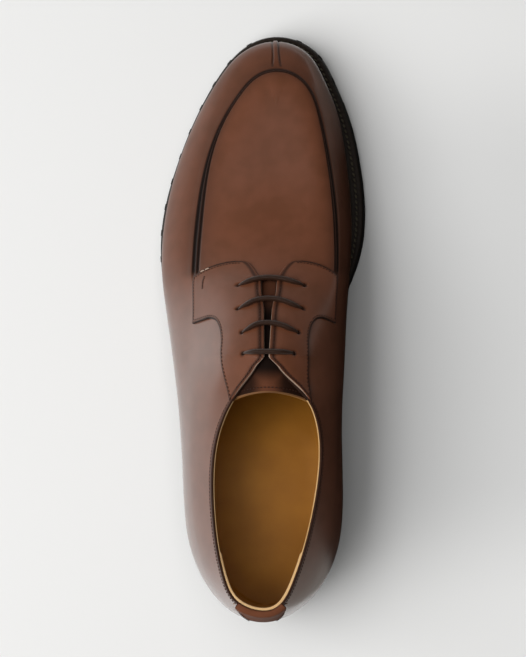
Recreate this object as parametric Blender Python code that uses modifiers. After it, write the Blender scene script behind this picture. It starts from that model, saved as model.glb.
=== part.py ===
"""A left split-toe derby shoe with a welted rubber sole, built as separate named pieces.

+Y points to the toe, +X to the inner (medial) side of the foot and +Z up. The origin is on the floor under
the middle of the shoe. Sizes are in millimetres, and become metres where a mesh is made. A station is a
distance from the back of the heel towards the toe. An angle goes round the shoe as seen from above: 0 at
the back of the heel, half a turn at the toe, the medial side first and the lateral side after it.
"""
import math
from collections import namedtuple

import bmesh
import bpy
import numpy as np
from mathutils import Vector

MM = 0.001
TURN = 2 * math.pi
HALF_TURN = np.linspace(0, math.pi, 2001)

# Driving sizes
SOLE_LENGTH = 302.0
UPPER_LENGTH = 298.5
HEEL_HEIGHT = 20.5
TOE_SPRING = 11.5
OUTSOLE_THICKNESS = 5.5
WELT_THICKNESS = 3.0
WALL = 2.0
OVERLAY = 1.3
TONGUE_THICKNESS = 2.2
TONGUE_TRAIL = 4.0
LACE_RADIUS = 1.3
EYELET_RADIUS = 2.3
GAP = 0.3
SKIN_GAP = 0.4
SOLE_ROUND = 0.9
WELT_ROUND = 0.6
INSOLE_RISE = 2.2
INSOLE_ROUND = 0.8
EYELET_SIDES = 12
DRILL_DEPTH = 10.0

# Where the sole changes along its length
HEEL_SEAT_END = 58.0
HEEL_BREAST = 72.0
BREAST_RADIUS = 80.0
BREAST_HOLLOW = 4.0
BALL_BACK = 172.0
BALL_FRONT = 222.0
HEEL_ROUND = 60.0
TOE_ROUND = 190.0

# The throat: a slot between the facings, then a ridge line to the toe
SLOT_TOP = 134.0
SLOT_FRONT = 172.0
SLOT_CLOSED = 173.5
COLLAR_BLEND = 112.0

# Raised seam round the apron and split seam at the toe
SEAM_START = 172.0
SEAM_FULL = 178.0
SEAM_CREST = 1.0
SEAM_GROOVE = 0.8
SEAM_CREST_AT = -1.0
SEAM_GROOVE_AT = 1.8
SEAM_REACH = 1.8
SPLIT_CREST = 0.9
SPLIT_REACH = 2.3
SPLIT_FADE = 0.35

# Lugs: notches cut up from the edge of the outsole
LUG_PITCH = 14.0
LUG_NOTCH = 3.2
LUG_DEPTH = 2.6
LUG_LENGTH = 9.0
LUG_FIRST = 158.0
LUG_RAMP = 0.06
SOLE_FLARE = 1.3

End = namedtuple("End", "station x z")
Section = namedtuple("Section", "station lateral medial lateral_z medial_z")
Edge = namedtuple("Edge", "station lateral medial lateral_inset medial_inset")
Ridge = namedtuple("Ridge", "station x z")
Topline = namedtuple("Topline", "station lateral medial lateral_z medial_z")
Cut = namedtuple("Cut", "inner_station inner_level outer_station outer_level")
Arch = namedtuple("Arch", "station x z half_width drop")
Strap = namedtuple("Strap", "level half_width")
Row = namedtuple("Row", "station centre_station lateral_level medial_level")
Ring = namedtuple("Ring", "inset share")
Run = namedtuple("Run", "start end columns")

# Edge of the sole, and how far inside it the upper meets the welt
SOLE_HEEL = End(1.0, 2.9, 0.0)
SOLE_TOE = End(302.0, 7.6, 0.0)
SOLE_EDGE = [
    Edge(15, -22.6, 28.4, 2.8, 2.8),
    Edge(40, -34.6, 40.2, 3.0, 3.2),
    Edge(62, -36.8, 42.2, 3.2, 3.8),
    Edge(90, -36.9, 38.0, 3.2, 4.6),
    Edge(115, -39.0, 33.2, 3.2, 4.6),
    Edge(140, -44.6, 35.2, 3.6, 4.6),
    Edge(165, -51.6, 43.4, 4.6, 6.0),
    Edge(185, -54.4, 51.0, 5.2, 7.8),
    Edge(205, -53.6, 54.0, 5.4, 8.4),
    Edge(235, -46.0, 51.6, 5.6, 8.0),
    Edge(258, -36.8, 46.4, 5.6, 7.4),
    Edge(278, -25.8, 38.4, 5.8, 7.0),
    Edge(292, -14.9, 30.4, 6.0, 6.6),
]
HEEL_INSET = 2.6
TOE_INSET = 6.4

# Side of the heel block: how far inside the sole's edge it is at a share of its height
HEEL_SIDE = [
    Ring(2.4, 0.0),
    Ring(1.7, 0.04),
    Ring(0.9, 0.6),
    Ring(0.8, 1.0),
]

# Widest line of the upper
BULGE_HEEL = End(0.0, 2.4, 48.0)
BULGE_TOE = End(298.5, 7.6, 28.0)
BULGE = [
    Section(15, -24.2, 30.0, 47.5, 48.0),
    Section(40, -35.8, 41.0, 47.0, 48.0),
    Section(75, -39.0, 42.7, 46.0, 48.5),
    Section(105, -41.2, 42.3, 43.5, 48.5),
    Section(134, -44.9, 43.8, 39.0, 46.0),
    Section(155, -48.2, 44.7, 33.5, 42.0),
    Section(177, -51.4, 46.2, 27.0, 34.5),
    Section(205, -50.5, 47.0, 21.5, 25.5),
    Section(235, -43.2, 44.2, 22.0, 24.0),
    Section(258, -33.7, 40.3, 23.5, 25.0),
    Section(277, -22.8, 33.2, 25.5, 26.5),
    Section(290, -12.0, 25.6, 27.2, 27.6),
]

# Shoulder: the apron seam in front of the throat, half way up the quarter behind it
SHOULDER_HEEL = End(2.2, 3.2, 71.0)
SHOULDER_TOE = End(280.0, 8.8, 40.5)
SHOULDER = [
    Section(15, -20.0, 25.9, 69.5, 70.5),
    Section(40, -30.6, 36.0, 66.5, 69.0),
    Section(75, -34.2, 39.6, 63.5, 66.5),
    Section(105, -34.4, 39.9, 63.5, 68.0),
    Section(134, -34.0, 39.6, 61.0, 67.5),
    Section(155, -33.9, 39.8, 56.0, 64.0),
    Section(177, -34.0, 40.6, 49.3, 56.5),
    Section(205, -32.4, 40.0, 43.5, 48.2),
    Section(233, -27.6, 36.5, 41.7, 44.4),
    Section(252, -20.6, 32.6, 40.9, 42.4),
    Section(266, -12.2, 28.4, 40.6, 41.2),
    Section(275.5, -3.8, 21.6, 40.5, 40.7),
]

# Top edge of the wall round the collar and down the slot
TOPLINE_HEEL = End(8.6, 4.6, 93.5)
TOPLINE = [
    Topline(15, -10.7, 15.8, 92.2, 92.6),
    Topline(25, -15.7, 20.4, 89.4, 90.8),
    Topline(40, -19.8, 25.3, 84.8, 87.4),
    Topline(58, -22.4, 29.6, 80.9, 84.6),
    Topline(75, -22.9, 32.3, 79.5, 83.5),
    Topline(90, -21.2, 33.0, 81.0, 84.8),
    Topline(104, -17.0, 31.0, 84.8, 88.2),
    Topline(116, -10.6, 24.6, 90.0, 92.6),
    Topline(126, -3.4, 14.2, 95.0, 96.2),
    Topline(SLOT_TOP, 3.8, 8.8, 98.6, 98.8),
    Topline(SLOT_FRONT, 2.4, 10.2, 70.8, 70.9),
]

# Crest of the vamp and instep, from the top of the slot to behind the toe
RIDGE_TOE = 262.0
RIDGE = [
    Ridge(SLOT_TOP, 6.5, 99.0),
    Ridge(145, 6.6, 92.2),
    Ridge(158, 6.4, 82.6),
    Ridge(SLOT_FRONT, 6.3, 71.2),
    Ridge(185, 6.9, 61.8),
    Ridge(200, 7.5, 54.6),
    Ridge(215, 8.0, 50.3),
    Ridge(240, 8.5, 47.0),
    Ridge(RIDGE_TOE, 8.8, 45.0),
]

# Columns of the upper in runs of stations, then the angles before the toe that carry the split seam
COLUMN_RUNS = [
    Run(0.0, 60.0, 9),
    Run(60.0, COLLAR_BLEND, 5),
    Run(COLLAR_BLEND, SLOT_FRONT, 9),
    Run(SLOT_CLOSED, 212.0, 4),
    Run(212.0, 296.6, 9),
]
SPLIT_COLUMNS = (0.16, 0.085, 0.05, 0.025, 0.0)

# Lace facing, as cuts from the throat outwards; level 3 is the top edge and level 2 the shoulder
FACING = [
    Cut(181.8, 2.66, 181.8, 2.60),
    Cut(181.0, 2.74, 181.3, 2.48),
    Cut(179.0, 2.80, 180.0, 2.34),
    Cut(176.2, 2.85, 177.8, 2.19),
    Cut(173.6, 2.885, 174.8, 2.04),
    Cut(SLOT_FRONT, 2.99, 170.5, 2.03),
    Cut(166.0, 3.0, 162.0, 2.04),
    Cut(161.0, 3.0, 150.4, 2.05),
    Cut(159.0, 3.0, 152.9, 2.32),
    Cut(155.0, 3.0, 152.2, 2.42),
    Cut(150.0, 3.0, 148.4, 2.50),
    Cut(142.0, 3.0, 141.0, 2.56),
    Cut(SLOT_TOP, 3.0, 133.0, 2.61),
    Cut(126.0, 3.0, 124.0, 2.75),
    Cut(119.0, 3.0, 117.0, 2.88),
    Cut(113.0, 3.0, 112.0, 2.96),
]

# Tongue, as arches across the foot from the vamp to its free end
TONGUE = [
    Arch(186, 7.4, 58.4, 20.0, 5.6),
    Arch(172, 6.7, 68.2, 20.0, 7.6),
    Arch(158, 6.7, 79.6, 21.0, 10.2),
    Arch(145, 6.8, 89.2, 22.0, 13.2),
    Arch(SLOT_TOP, 6.8, 95.2, 23.0, 16.8),
    Arch(125, 6.8, 96.2, 24.0, 19.2),
    Arch(117, 7.0, 96.4, 24.5, 19.0),
]

TONGUE_ROWS = 13
TONGUE_COLUMNS = 11
TONGUE_BEND = 1.8

# Strap over the back seam
HEEL_STRAP = [
    Strap(2.99, 12.6),
    Strap(2.75, 11.4),
    Strap(2.5, 9.2),
    Strap(2.3, 6.6),
    Strap(2.14, 4.6),
]

# Lace rows: where each passes through the facings, and where its middle lies
LACE_ROWS = [
    Row(169.2, 171.8, 2.72, 2.60),
    Row(157.4, 161.6, 2.74, 2.62),
    Row(145.6, 149.8, 2.80, 2.68),
    Row(135.0, 136.6, 2.82, 2.74),
]
LACE_SUNK = 0.6
LACE_BEND = 0.5
LACE_STEPS = 5
LACE_FIRST = 0.05
LACE_LAST = 2.97

Finish = namedtuple("Finish", "colour roughness")
FINISHES = {
    "brown_calf": Finish((0.115, 0.050, 0.030), 0.38),
    "tan_lining": Finish((0.30, 0.15, 0.05), 0.55),
    "black_rubber": Finish((0.012, 0.011, 0.010), 0.6),
    "dark_welt": Finish((0.022, 0.018, 0.012), 0.5),
    "waxed_lace": Finish((0.030, 0.016, 0.010), 0.5),
}


def spline(knots, values, at, closed=False):
    """Cubic spline through values at knots, natural at its ends, or closed over one whole turn."""
    knots = np.asarray(knots, float)
    values = np.asarray(values, float)
    at = np.asarray(at, float)
    if closed:
        at = np.mod(at - knots[0], TURN) + knots[0]
        knots = np.append(knots, knots[0] + TURN)
        values = np.append(values, values[0])
    step = np.diff(knots)
    slope = np.diff(values) / step
    count = len(knots)
    system = np.eye(count)
    right = np.zeros(count)
    for i in range(1, count - 1):
        system[i, i - 1:i + 2] = step[i - 1], 2 * (step[i - 1] + step[i]), step[i]
        right[i] = 6 * (slope[i] - slope[i - 1])
    if closed:
        system[0, :2] = 2 * (step[-1] + step[0]), step[0]
        system[0, -2] = step[-1]
        right[0] = 6 * (slope[0] - slope[-1])
        system[-1, 0] = -1
    bend = np.linalg.solve(system, right)
    i = np.clip(np.searchsorted(knots, at, side="right") - 1, 0, count - 2)
    after = at - knots[i]
    before = knots[i + 1] - at
    curve = (bend[i] * before ** 3 + bend[i + 1] * after ** 3) / (6 * step[i])
    start = values[i] / step[i] - bend[i] * step[i] / 6
    end = values[i + 1] / step[i] - bend[i + 1] * step[i] / 6
    return curve + start * before + end * after


def ease(low, high, value):
    """Rises smoothly from 0 at low to 1 at high."""
    share = np.clip((np.asarray(value, float) - low) / (high - low), 0, 1)
    return share * share * (3 - 2 * share)


def bump(share):
    """A rounded hump of height 1 that falls to 0 where share reaches 1."""
    return np.clip(1 - np.asarray(share, float) ** 2, 0, 1) ** 2


def column_of(table, name):
    return [getattr(row, name) for row in table]


def plain_station(angle):
    return UPPER_LENGTH * (1 - np.cos(angle)) / 2


def shifted_station(angle, heel_station, toe_station):
    """Station of a line at an angle: sections are upright in the middle and lean in at the heel and the toe."""
    station = plain_station(angle)
    near_heel = np.clip(1 - station / HEEL_ROUND, 0, 1) ** 2
    near_toe = np.clip((station - TOE_ROUND) / (UPPER_LENGTH - TOE_ROUND), 0, 1) ** 2
    return station + heel_station * near_heel + (toe_station - UPPER_LENGTH) * near_toe


def angle_at(station, medial, heel_station=0.0, toe_station=UPPER_LENGTH):
    """Angle at which a line with these ends reaches a station, on one side."""
    angle = np.interp(station, shifted_station(HALF_TURN, heel_station, toe_station), HALF_TURN)
    return angle if medial else TURN - angle


class Line:
    """A closed line round the shoe, through its two ends and the sections of a table."""

    def __init__(self, heel, toe, table):
        self.heel = heel
        self.toe = toe
        self.table = table
        medial = angle_at(column_of(table, "station"), True, heel.station, toe.station)
        self.knots = np.concatenate(([0.0], medial, [math.pi], (TURN - medial)[::-1]))

    def read(self, angle, medial, lateral, heel, toe):
        """A value at an angle, from one column for each side and a value for each end."""
        medial_values = column_of(self.table, medial)
        lateral_values = column_of(self.table, lateral)[::-1]
        return spline(self.knots, [heel, *medial_values, toe, *lateral_values], angle, closed=True)

    def station(self, angle):
        return shifted_station(angle, self.heel.station, self.toe.station)

    def across(self, angle):
        return self.read(angle, "medial", "lateral", self.heel.x, self.toe.x)

    def points(self, angle):
        height = self.read(angle, "medial_z", "lateral_z", self.heel.z, self.toe.z)
        return np.stack((self.across(angle), self.station(angle), height), axis=-1)


SOLE_LINE = Line(SOLE_HEEL, SOLE_TOE, SOLE_EDGE)
BULGE_LINE = Line(BULGE_HEEL, BULGE_TOE, BULGE)
SHOULDER_LINE = Line(SHOULDER_HEEL, SHOULDER_TOE, SHOULDER)


def tread_height(station):
    """Underside of the outsole: level on the heel, down the arch, flat at the ball, up at the toe."""
    arch = HEEL_HEIGHT * (1 - ease(HEEL_SEAT_END, BALL_BACK, station))
    spring = np.clip((station - BALL_FRONT) / (SOLE_LENGTH - BALL_FRONT), 0, 1) ** 2
    return arch + TOE_SPRING * spring


def sole_loop(angle, inset):
    """The sole's edge in plan, moved inwards by inset along its own normal."""
    nudge = 1e-4
    x = SOLE_LINE.across(angle)
    y = SOLE_LINE.station(angle)
    along_x = SOLE_LINE.across(angle + nudge) - SOLE_LINE.across(angle - nudge)
    along_y = SOLE_LINE.station(angle + nudge) - SOLE_LINE.station(angle - nudge)
    length = np.hypot(along_x, along_y)
    return x - inset * along_y / length, y + inset * along_x / length


def feather_inset(angle):
    return SOLE_LINE.read(angle, "medial_inset", "lateral_inset", HEEL_INSET, TOE_INSET)


def sole_points(angle, inset, rise):
    """Points on a loop inside the sole's edge, at a height above the tread."""
    x, y = sole_loop(angle, inset)
    return np.stack((x, y, tread_height(y) + rise), axis=-1)


def feather_points(angle):
    rise = OUTSOLE_THICKNESS + WELT_THICKNESS + 2 * GAP
    return sole_points(angle, feather_inset(angle), rise)


def topline_points(angle):
    """Top edge of the wall: the collar, the slot's edges, then the ridge line that both sides share."""
    station = shifted_station(angle, TOPLINE_HEEL.station, RIDGE_TOE)
    medial = np.mod(angle, TURN) <= math.pi
    ridge_x = spline(column_of(RIDGE, "station"), column_of(RIDGE, "x"), station)
    ridge_z = spline(column_of(RIDGE, "station"), column_of(RIDGE, "z"), station)
    collar = TOPLINE[:-1]
    half = angle_at(column_of(collar, "station"), True, TOPLINE_HEEL.station, RIDGE_TOE)
    knots = np.concatenate((-half[::-1], [0.0], half))
    signed = np.where(medial, np.mod(angle, TURN), np.mod(angle, TURN) - TURN)
    edge_x = spline(knots, column_of(collar, "lateral")[::-1] + [TOPLINE_HEEL.x]
                    + column_of(collar, "medial"), signed)
    edge_z = spline(knots, column_of(collar, "lateral_z")[::-1] + [TOPLINE_HEEL.z]
                    + column_of(collar, "medial_z"), signed)
    slot = TOPLINE[-2:]
    slot_x = np.where(medial, np.interp(station, column_of(slot, "station"), column_of(slot, "medial")),
                      np.interp(station, column_of(slot, "station"), column_of(slot, "lateral")))
    closing = np.clip((station - SLOT_FRONT) / (SLOT_CLOSED - SLOT_FRONT), 0, 1)
    slot_x = slot_x + closing * (ridge_x - slot_x)
    in_collar = station < SLOT_TOP
    x = np.where(in_collar, edge_x, slot_x)
    z = np.where(in_collar, edge_z, ridge_z - (1 - closing) * GAP)
    return np.stack((x, station, z), axis=-1)


def length_of(vector):
    return np.linalg.norm(vector, axis=-1, keepdims=True)


def upper_base(angle, level):
    """The upper's smooth outer surface. Level 0 is the welt, 1 the widest line, 2 the shoulder, 3 the top edge.

    Each column is a smooth curve through its four points: the direction at an inner point is the mean of its
    two chords, weighted by the other chord's length, and over the vamp the curve ends level across the ridge.
    """
    angle, level = np.broadcast_arrays(np.asarray(angle, float), np.asarray(level, float))
    points = [feather_points(angle), BULGE_LINE.points(angle), SHOULDER_LINE.points(angle),
              topline_points(angle)]
    chords = [after - before for before, after in zip(points, points[1:])]
    lengths = [length_of(chord) for chord in chords]
    along = [chord / length for chord, length in zip(chords, lengths)]
    inner = [(along[i] * lengths[i + 1] + along[i + 1] * lengths[i]) / (lengths[i] + lengths[i + 1])
             for i in (0, 1)]
    first = (3 * along[0] - inner[0]) / 2
    free = (3 * along[2] - inner[1]) / 2
    station = points[3][..., 1]
    ridge_slope = (ridge_height(station + 0.5) - ridge_height(station - 0.5))
    level_end = chords[2].copy()
    level_end[..., 2] = ridge_slope * level_end[..., 1]
    level_end = level_end / length_of(level_end)
    over_vamp = ease(COLLAR_BLEND, SLOT_TOP + 6, station)[..., None]
    slopes = [first, *inner, free + over_vamp * (level_end - free)]
    result = np.zeros(angle.shape + (3,))
    for i in range(3):
        share = np.clip(level - i, 0, 1)[..., None]
        curve = ((2 * share ** 3 - 3 * share ** 2 + 1) * points[i]
                 + (share ** 3 - 2 * share ** 2 + share) * lengths[i] * slopes[i]
                 + (3 * share ** 2 - 2 * share ** 3) * points[i + 1]
                 + (share ** 3 - share ** 2) * lengths[i] * slopes[i + 1])
        here = (level >= i) & (level <= i + 1)
        result = np.where(here[..., None], curve, result)
    return result


def ridge_height(station):
    station = np.clip(station, SLOT_TOP, RIDGE_TOE)
    return spline(column_of(RIDGE, "station"), column_of(RIDGE, "z"), station)


def outward(angle, level):
    """Unit normal of the smooth surface, pointing out of the shoe."""
    nudge = 1e-3
    level = np.minimum(level, 2.98)
    low = np.clip(level - nudge, 0, 3)
    high = level + nudge
    around = upper_base(angle + nudge, level) - upper_base(angle - nudge, level)
    up = upper_base(angle, high) - upper_base(angle, low)
    normal = np.cross(around, up)
    return normal / length_of(normal)


def seam_relief(angle, level):
    """Height of the raised apron seam and of the split seam over the smooth surface."""
    shoulder = SHOULDER_LINE.points(angle)
    to_top = length_of(topline_points(angle) - shoulder)[..., 0]
    to_bulge = length_of(BULGE_LINE.points(angle) - shoulder)[..., 0]
    off = np.where(level > 2, (level - 2) * to_top, (level - 2) * to_bulge)
    seam = (SEAM_CREST * bump((off - SEAM_CREST_AT) / SEAM_REACH)
            - SEAM_GROOVE * bump((off - SEAM_GROOVE_AT) / SEAM_REACH))
    seam = seam * ease(SEAM_START, SEAM_FULL, shoulder[..., 1])
    aside = (upper_base(angle, level) - upper_base(math.pi, level))[..., 0]
    at_toe = np.abs(np.mod(angle, TURN) - math.pi) < 0.5
    split = np.where(at_toe & (level < 2), SPLIT_CREST * bump(aside / SPLIT_REACH), 0)
    return np.maximum(seam, split * ease(0, SPLIT_FADE, level))


def offset_surface(angle, level, distance):
    """A point at a distance outside the smooth surface."""
    return upper_base(angle, level) + np.asarray(distance)[..., None] * outward(angle, level)


def both_sides(medial_angles):
    """A whole turn of angles from those of the medial half, ends included."""
    return np.concatenate((medial_angles, (TURN - medial_angles[1:-1])[::-1]))


def to_metres(points):
    """Millimetres from the heel become metres from the middle of the shoe."""
    return (np.asarray(points) - (0.0, SOLE_LENGTH / 2, 0.0)) * MM


def new_material(name):
    finish = FINISHES[name]
    material = bpy.data.materials.new(name)
    material.use_nodes = True
    shader = material.node_tree.nodes["Principled BSDF"]
    shader.inputs["Base Color"].default_value = (*finish.colour, 1.0)
    shader.inputs["Roughness"].default_value = finish.roughness
    shader.inputs["Metallic"].default_value = 0.0
    return material


def add_object(name, data, collection, finish):
    item = bpy.data.objects.new(name, data)
    collection.objects.link(item)
    data.materials.append(new_material(finish))
    item.data.materials[0].name = name + "_" + finish
    return item


def mesh_from(name, points, faces):
    """A mesh from points in millimetres, with coincident points merged and faces shaded smooth."""
    mesh = bpy.data.meshes.new(name)
    mesh.from_pydata(to_metres(points).reshape(-1, 3).tolist(), [], faces)
    cage = bmesh.new()
    cage.from_mesh(mesh)
    bmesh.ops.remove_doubles(cage, verts=cage.verts, dist=1e-6)
    bmesh.ops.dissolve_degenerate(cage, edges=cage.edges, dist=1e-7)
    cage.to_mesh(mesh)
    cage.free()
    mesh.shade_smooth()
    return mesh


def grid_faces(rows, columns, wrap=False):
    """Quads of a grid stored row by row; wrap joins the last column to the first."""
    faces = []
    for row in range(rows - 1):
        for column in range(columns if wrap else columns - 1):
            beside = (column + 1) % columns
            faces.append((row * columns + column, row * columns + beside,
                          (row + 1) * columns + beside, (row + 1) * columns + column))
    return faces


def ladder_faces(first, count, upward):
    """Closes a loop with quads from its medial half to its lateral half."""
    faces = []
    for i in range(count // 2):
        medial, lateral = first + i, first + (count - i) % count
        next_medial, next_lateral = first + i + 1, first + count - i - 1
        face = [medial, next_medial, next_lateral, lateral]
        face = list(dict.fromkeys(face))
        faces.append(face if upward else face[::-1])
    return faces


def lofted_plate(name, rings):
    """A closed solid from loops stacked from the lowest to the highest."""
    count = len(rings[0])
    faces = grid_faces(len(rings), count, wrap=True)
    faces += ladder_faces(0, count, upward=False)
    faces += ladder_faces((len(rings) - 1) * count, count, upward=True)
    return mesh_from(name, np.concatenate(rings), faces)


def lug_angles():
    """Angles of the outsole's loop with a pair of columns at each side of every notch."""
    half = np.linspace(0, math.pi, 4001)
    half_notch = LUG_NOTCH / 2
    marks = {}
    for medial in (True, False):
        side = half if medial else TURN - half
        x, y = sole_loop(side, 0.0)
        run = np.concatenate(([0.0], np.cumsum(np.hypot(np.diff(x), np.diff(y)))))
        start = np.interp(LUG_FIRST, y, run)
        notches = np.arange(start, run[-1] - LUG_PITCH / 4, LUG_PITCH)
        sides = (-half_notch - LUG_RAMP, -half_notch, half_notch, half_notch + LUG_RAMP)
        edges = (notches[:, None] + np.array(sides)).ravel()
        lifted = np.tile((False, True, True, False), len(notches))
        marks[medial] = np.interp(edges, run, half), lifted
    return marks


def make_outsole(collection):
    """Sole plate with a flared edge, and lugs left between notches round the forefoot."""
    marks = lug_angles()
    back = np.linspace(0, 1, 14, endpoint=False)
    turns, cuts = [], []
    for medial in (True, False):
        lugs, lifted = marks[medial]
        plain = back * lugs[0]
        turns.append(np.concatenate((plain, lugs, [math.pi])))
        cuts.append(np.concatenate((np.zeros(len(plain), bool), lifted, [False])))
    angle = np.concatenate((turns[0], TURN - turns[1][1:-1][::-1]))
    lifted = np.concatenate((cuts[0], cuts[1][1:-1][::-1]))
    lift = np.where(lifted, LUG_DEPTH, 0.0)
    flare = SOLE_FLARE * ease(HEEL_BREAST, BALL_BACK, SOLE_LINE.station(angle))
    rings = [
        sole_points(angle, LUG_LENGTH + 0.2, 0.0),
        sole_points(angle, LUG_LENGTH, lift),
        sole_points(angle, SOLE_ROUND, lift),
        sole_points(angle, 0.0, lift + SOLE_ROUND),
        sole_points(angle, flare, OUTSOLE_THICKNESS),
    ]
    mesh = lofted_plate("outsole", rings)
    return add_object("outsole", mesh, collection, "black_rubber")


def make_heel(collection, cutters):
    """Heel block under the seat, tapered down to the floor, with a hollowed breast."""
    last = angle_at(HEEL_BREAST + BREAST_HOLLOW, True, SOLE_HEEL.station, SOLE_TOE.station)
    half = np.linspace(0, last, 15)
    angle = np.concatenate((half, TURN - half[1:][::-1]))
    rings = []
    for side in HEEL_SIDE:
        ring = sole_points(angle, side.inset, 0.0)
        ring[:, 2] = side.share * (ring[:, 2] - GAP)
        rings.append(ring)
    heel = add_object("heel", lofted_plate("heel", rings), collection, "black_rubber")
    depth = 3 * HEEL_HEIGHT
    bpy.ops.mesh.primitive_cylinder_add(vertices=128, radius=BREAST_RADIUS * MM, depth=depth * MM)
    cutter = bpy.context.object
    cutter.name = "breast_cutter"
    centre = (0.0, HEEL_BREAST - BREAST_HOLLOW + BREAST_RADIUS, HEEL_HEIGHT / 2)
    cutter.location = to_metres(centre)
    keep_as_cutter(cutter, cutters)
    cut(heel, cutter)
    return heel


def keep_as_cutter(item, cutters):
    for owner in list(item.users_collection):
        owner.objects.unlink(item)
    cutters.objects.link(item)
    item.hide_render = True
    item.display_type = "WIRE"


def cut(item, cutter):
    boolean = item.modifiers.new("cut_" + cutter.name, "BOOLEAN")
    boolean.operation = "DIFFERENCE"
    boolean.solver = "EXACT"
    boolean.object = cutter


def make_welt(collection):
    """Strip between the outsole and the upper, from the sole's edge to just inside the upper's wall."""
    angle = upper_angles()
    flare = SOLE_FLARE * ease(HEEL_BREAST, BALL_BACK, SOLE_LINE.station(angle))
    inner = feather_inset(angle) + WALL + GAP
    low = OUTSOLE_THICKNESS + GAP
    high = low + WELT_THICKNESS
    rings = [
        sole_points(angle, inner, low),
        sole_points(angle, flare + WELT_ROUND, low),
        sole_points(angle, flare, low + WELT_ROUND),
        sole_points(angle, flare, high - WELT_ROUND),
        sole_points(angle, flare + WELT_ROUND, high),
        sole_points(angle, inner, high),
    ]
    faces = grid_faces(len(rings) + 1, len(angle), wrap=True)
    total = len(rings) * len(angle)
    faces = [tuple(corner % total for corner in face) for face in faces]
    return add_object("welt", mesh_from("welt", np.concatenate(rings), faces), collection, "dark_welt")


def make_insole(collection):
    """Footbed that fills the welt's ring and the foot of the upper's wall."""
    angle = upper_angles()
    inset = feather_inset(angle) + WALL + 2 * GAP
    low = OUTSOLE_THICKNESS + GAP
    high = low + WELT_THICKNESS + INSOLE_RISE
    rings = [
        sole_points(angle, inset, low),
        sole_points(angle, inset, high - INSOLE_ROUND),
        sole_points(angle, inset + INSOLE_ROUND, high),
    ]
    return add_object("insole", lofted_plate("insole", rings), collection, "tan_lining")


def upper_angles():
    """Columns of the upper: close together round the throat and at the split seam."""
    runs = [np.linspace(angle_at(run.start, True), angle_at(run.end, True), run.columns, endpoint=False)
            for run in COLUMN_RUNS]
    return both_sides(np.concatenate((*runs, math.pi - np.array(SPLIT_COLUMNS))))


def seam_levels(angle):
    """Levels of the rows that carry the seam's crest and groove, for each column."""
    shoulder = SHOULDER_LINE.points(angle)
    to_top = length_of(topline_points(angle) - shoulder)[..., 0]
    to_bulge = length_of(BULGE_LINE.points(angle) - shoulder)[..., 0]
    offsets = (SEAM_CREST_AT - SEAM_REACH, SEAM_CREST_AT, 0.4, SEAM_GROOVE_AT, SEAM_GROOVE_AT + SEAM_REACH)
    return [2 + off / (to_top if off > 0 else to_bulge) for off in offsets]


def make_upper(collection):
    """Vamp, apron and quarters in one wall, open at the collar, the slot and underneath."""
    angle = upper_angles()
    seam = seam_levels(angle)
    low_rows = [np.full_like(angle, level) for level in (0, 0.35, 0.7, 1)]
    wall_rows = [1 + (seam[0] - 1) * share for share in (0.3, 0.6)]
    top_rows = [seam[-1] + (3 - seam[-1]) * share for share in (0.2, 0.4, 0.6, 0.8, 1)]
    levels = np.stack(low_rows + wall_rows + seam + top_rows)
    angles = np.broadcast_to(angle, levels.shape)
    points = offset_surface(angles, levels, seam_relief(angles, levels))
    mesh = mesh_from("upper", points, grid_faces(*levels.shape, wrap=True))
    upper = add_object("upper", mesh, collection, "brown_calf")
    thicken(upper, WALL, -1)
    return upper


def thicken(item, thickness, side):
    """Gives an open surface its thickness, outwards for side 1 and inwards for side -1."""
    solid = item.modifiers.new("thickness", "SOLIDIFY")
    solid.thickness = thickness * MM
    solid.offset = side


def make_facing(collection, medial):
    """Lace facing: an overlay cut from the upper's own surface, from the throat to the shoulder."""
    across = np.linspace(0, 1, 8)
    inner_station = np.array(column_of(FACING, "inner_station"))[:, None]
    inner_level = np.array(column_of(FACING, "inner_level"))[:, None]
    outer_station = np.array(column_of(FACING, "outer_station"))[:, None]
    outer_level = np.array(column_of(FACING, "outer_level"))[:, None]
    station = inner_station + (outer_station - inner_station) * across
    level = inner_level + (outer_level - inner_level) * across
    points = offset_surface(angle_at(station, medial), level, np.full(station.shape, SKIN_GAP))
    faces = grid_faces(*station.shape)
    if medial:
        faces = [face[::-1] for face in faces]
    name = "facing_medial" if medial else "facing_lateral"
    facing = add_object(name, mesh_from(name, points, faces), collection, "brown_calf")
    thicken(facing, OVERLAY, 1)
    return facing


def make_heel_patch(collection):
    """Strap over the back seam, tapering down from the collar."""
    levels = np.array(column_of(HEEL_STRAP, "level"))[:, None]
    widths = np.array(column_of(HEEL_STRAP, "half_width"))[:, None]
    nudge = 0.02
    per_turn = length_of(upper_base(nudge, levels) - upper_base(-nudge, levels))[..., 0] / (2 * nudge)
    angle = np.linspace(-1, 1, 9) * widths / per_turn
    level = np.broadcast_to(levels, angle.shape)
    points = offset_surface(angle, level, np.full(angle.shape, SKIN_GAP))
    faces = [face[::-1] for face in grid_faces(*angle.shape)]
    patch = add_object("heel_patch", mesh_from("heel_patch", points, faces), collection, "brown_calf")
    thicken(patch, OVERLAY, 1)
    return patch


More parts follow.
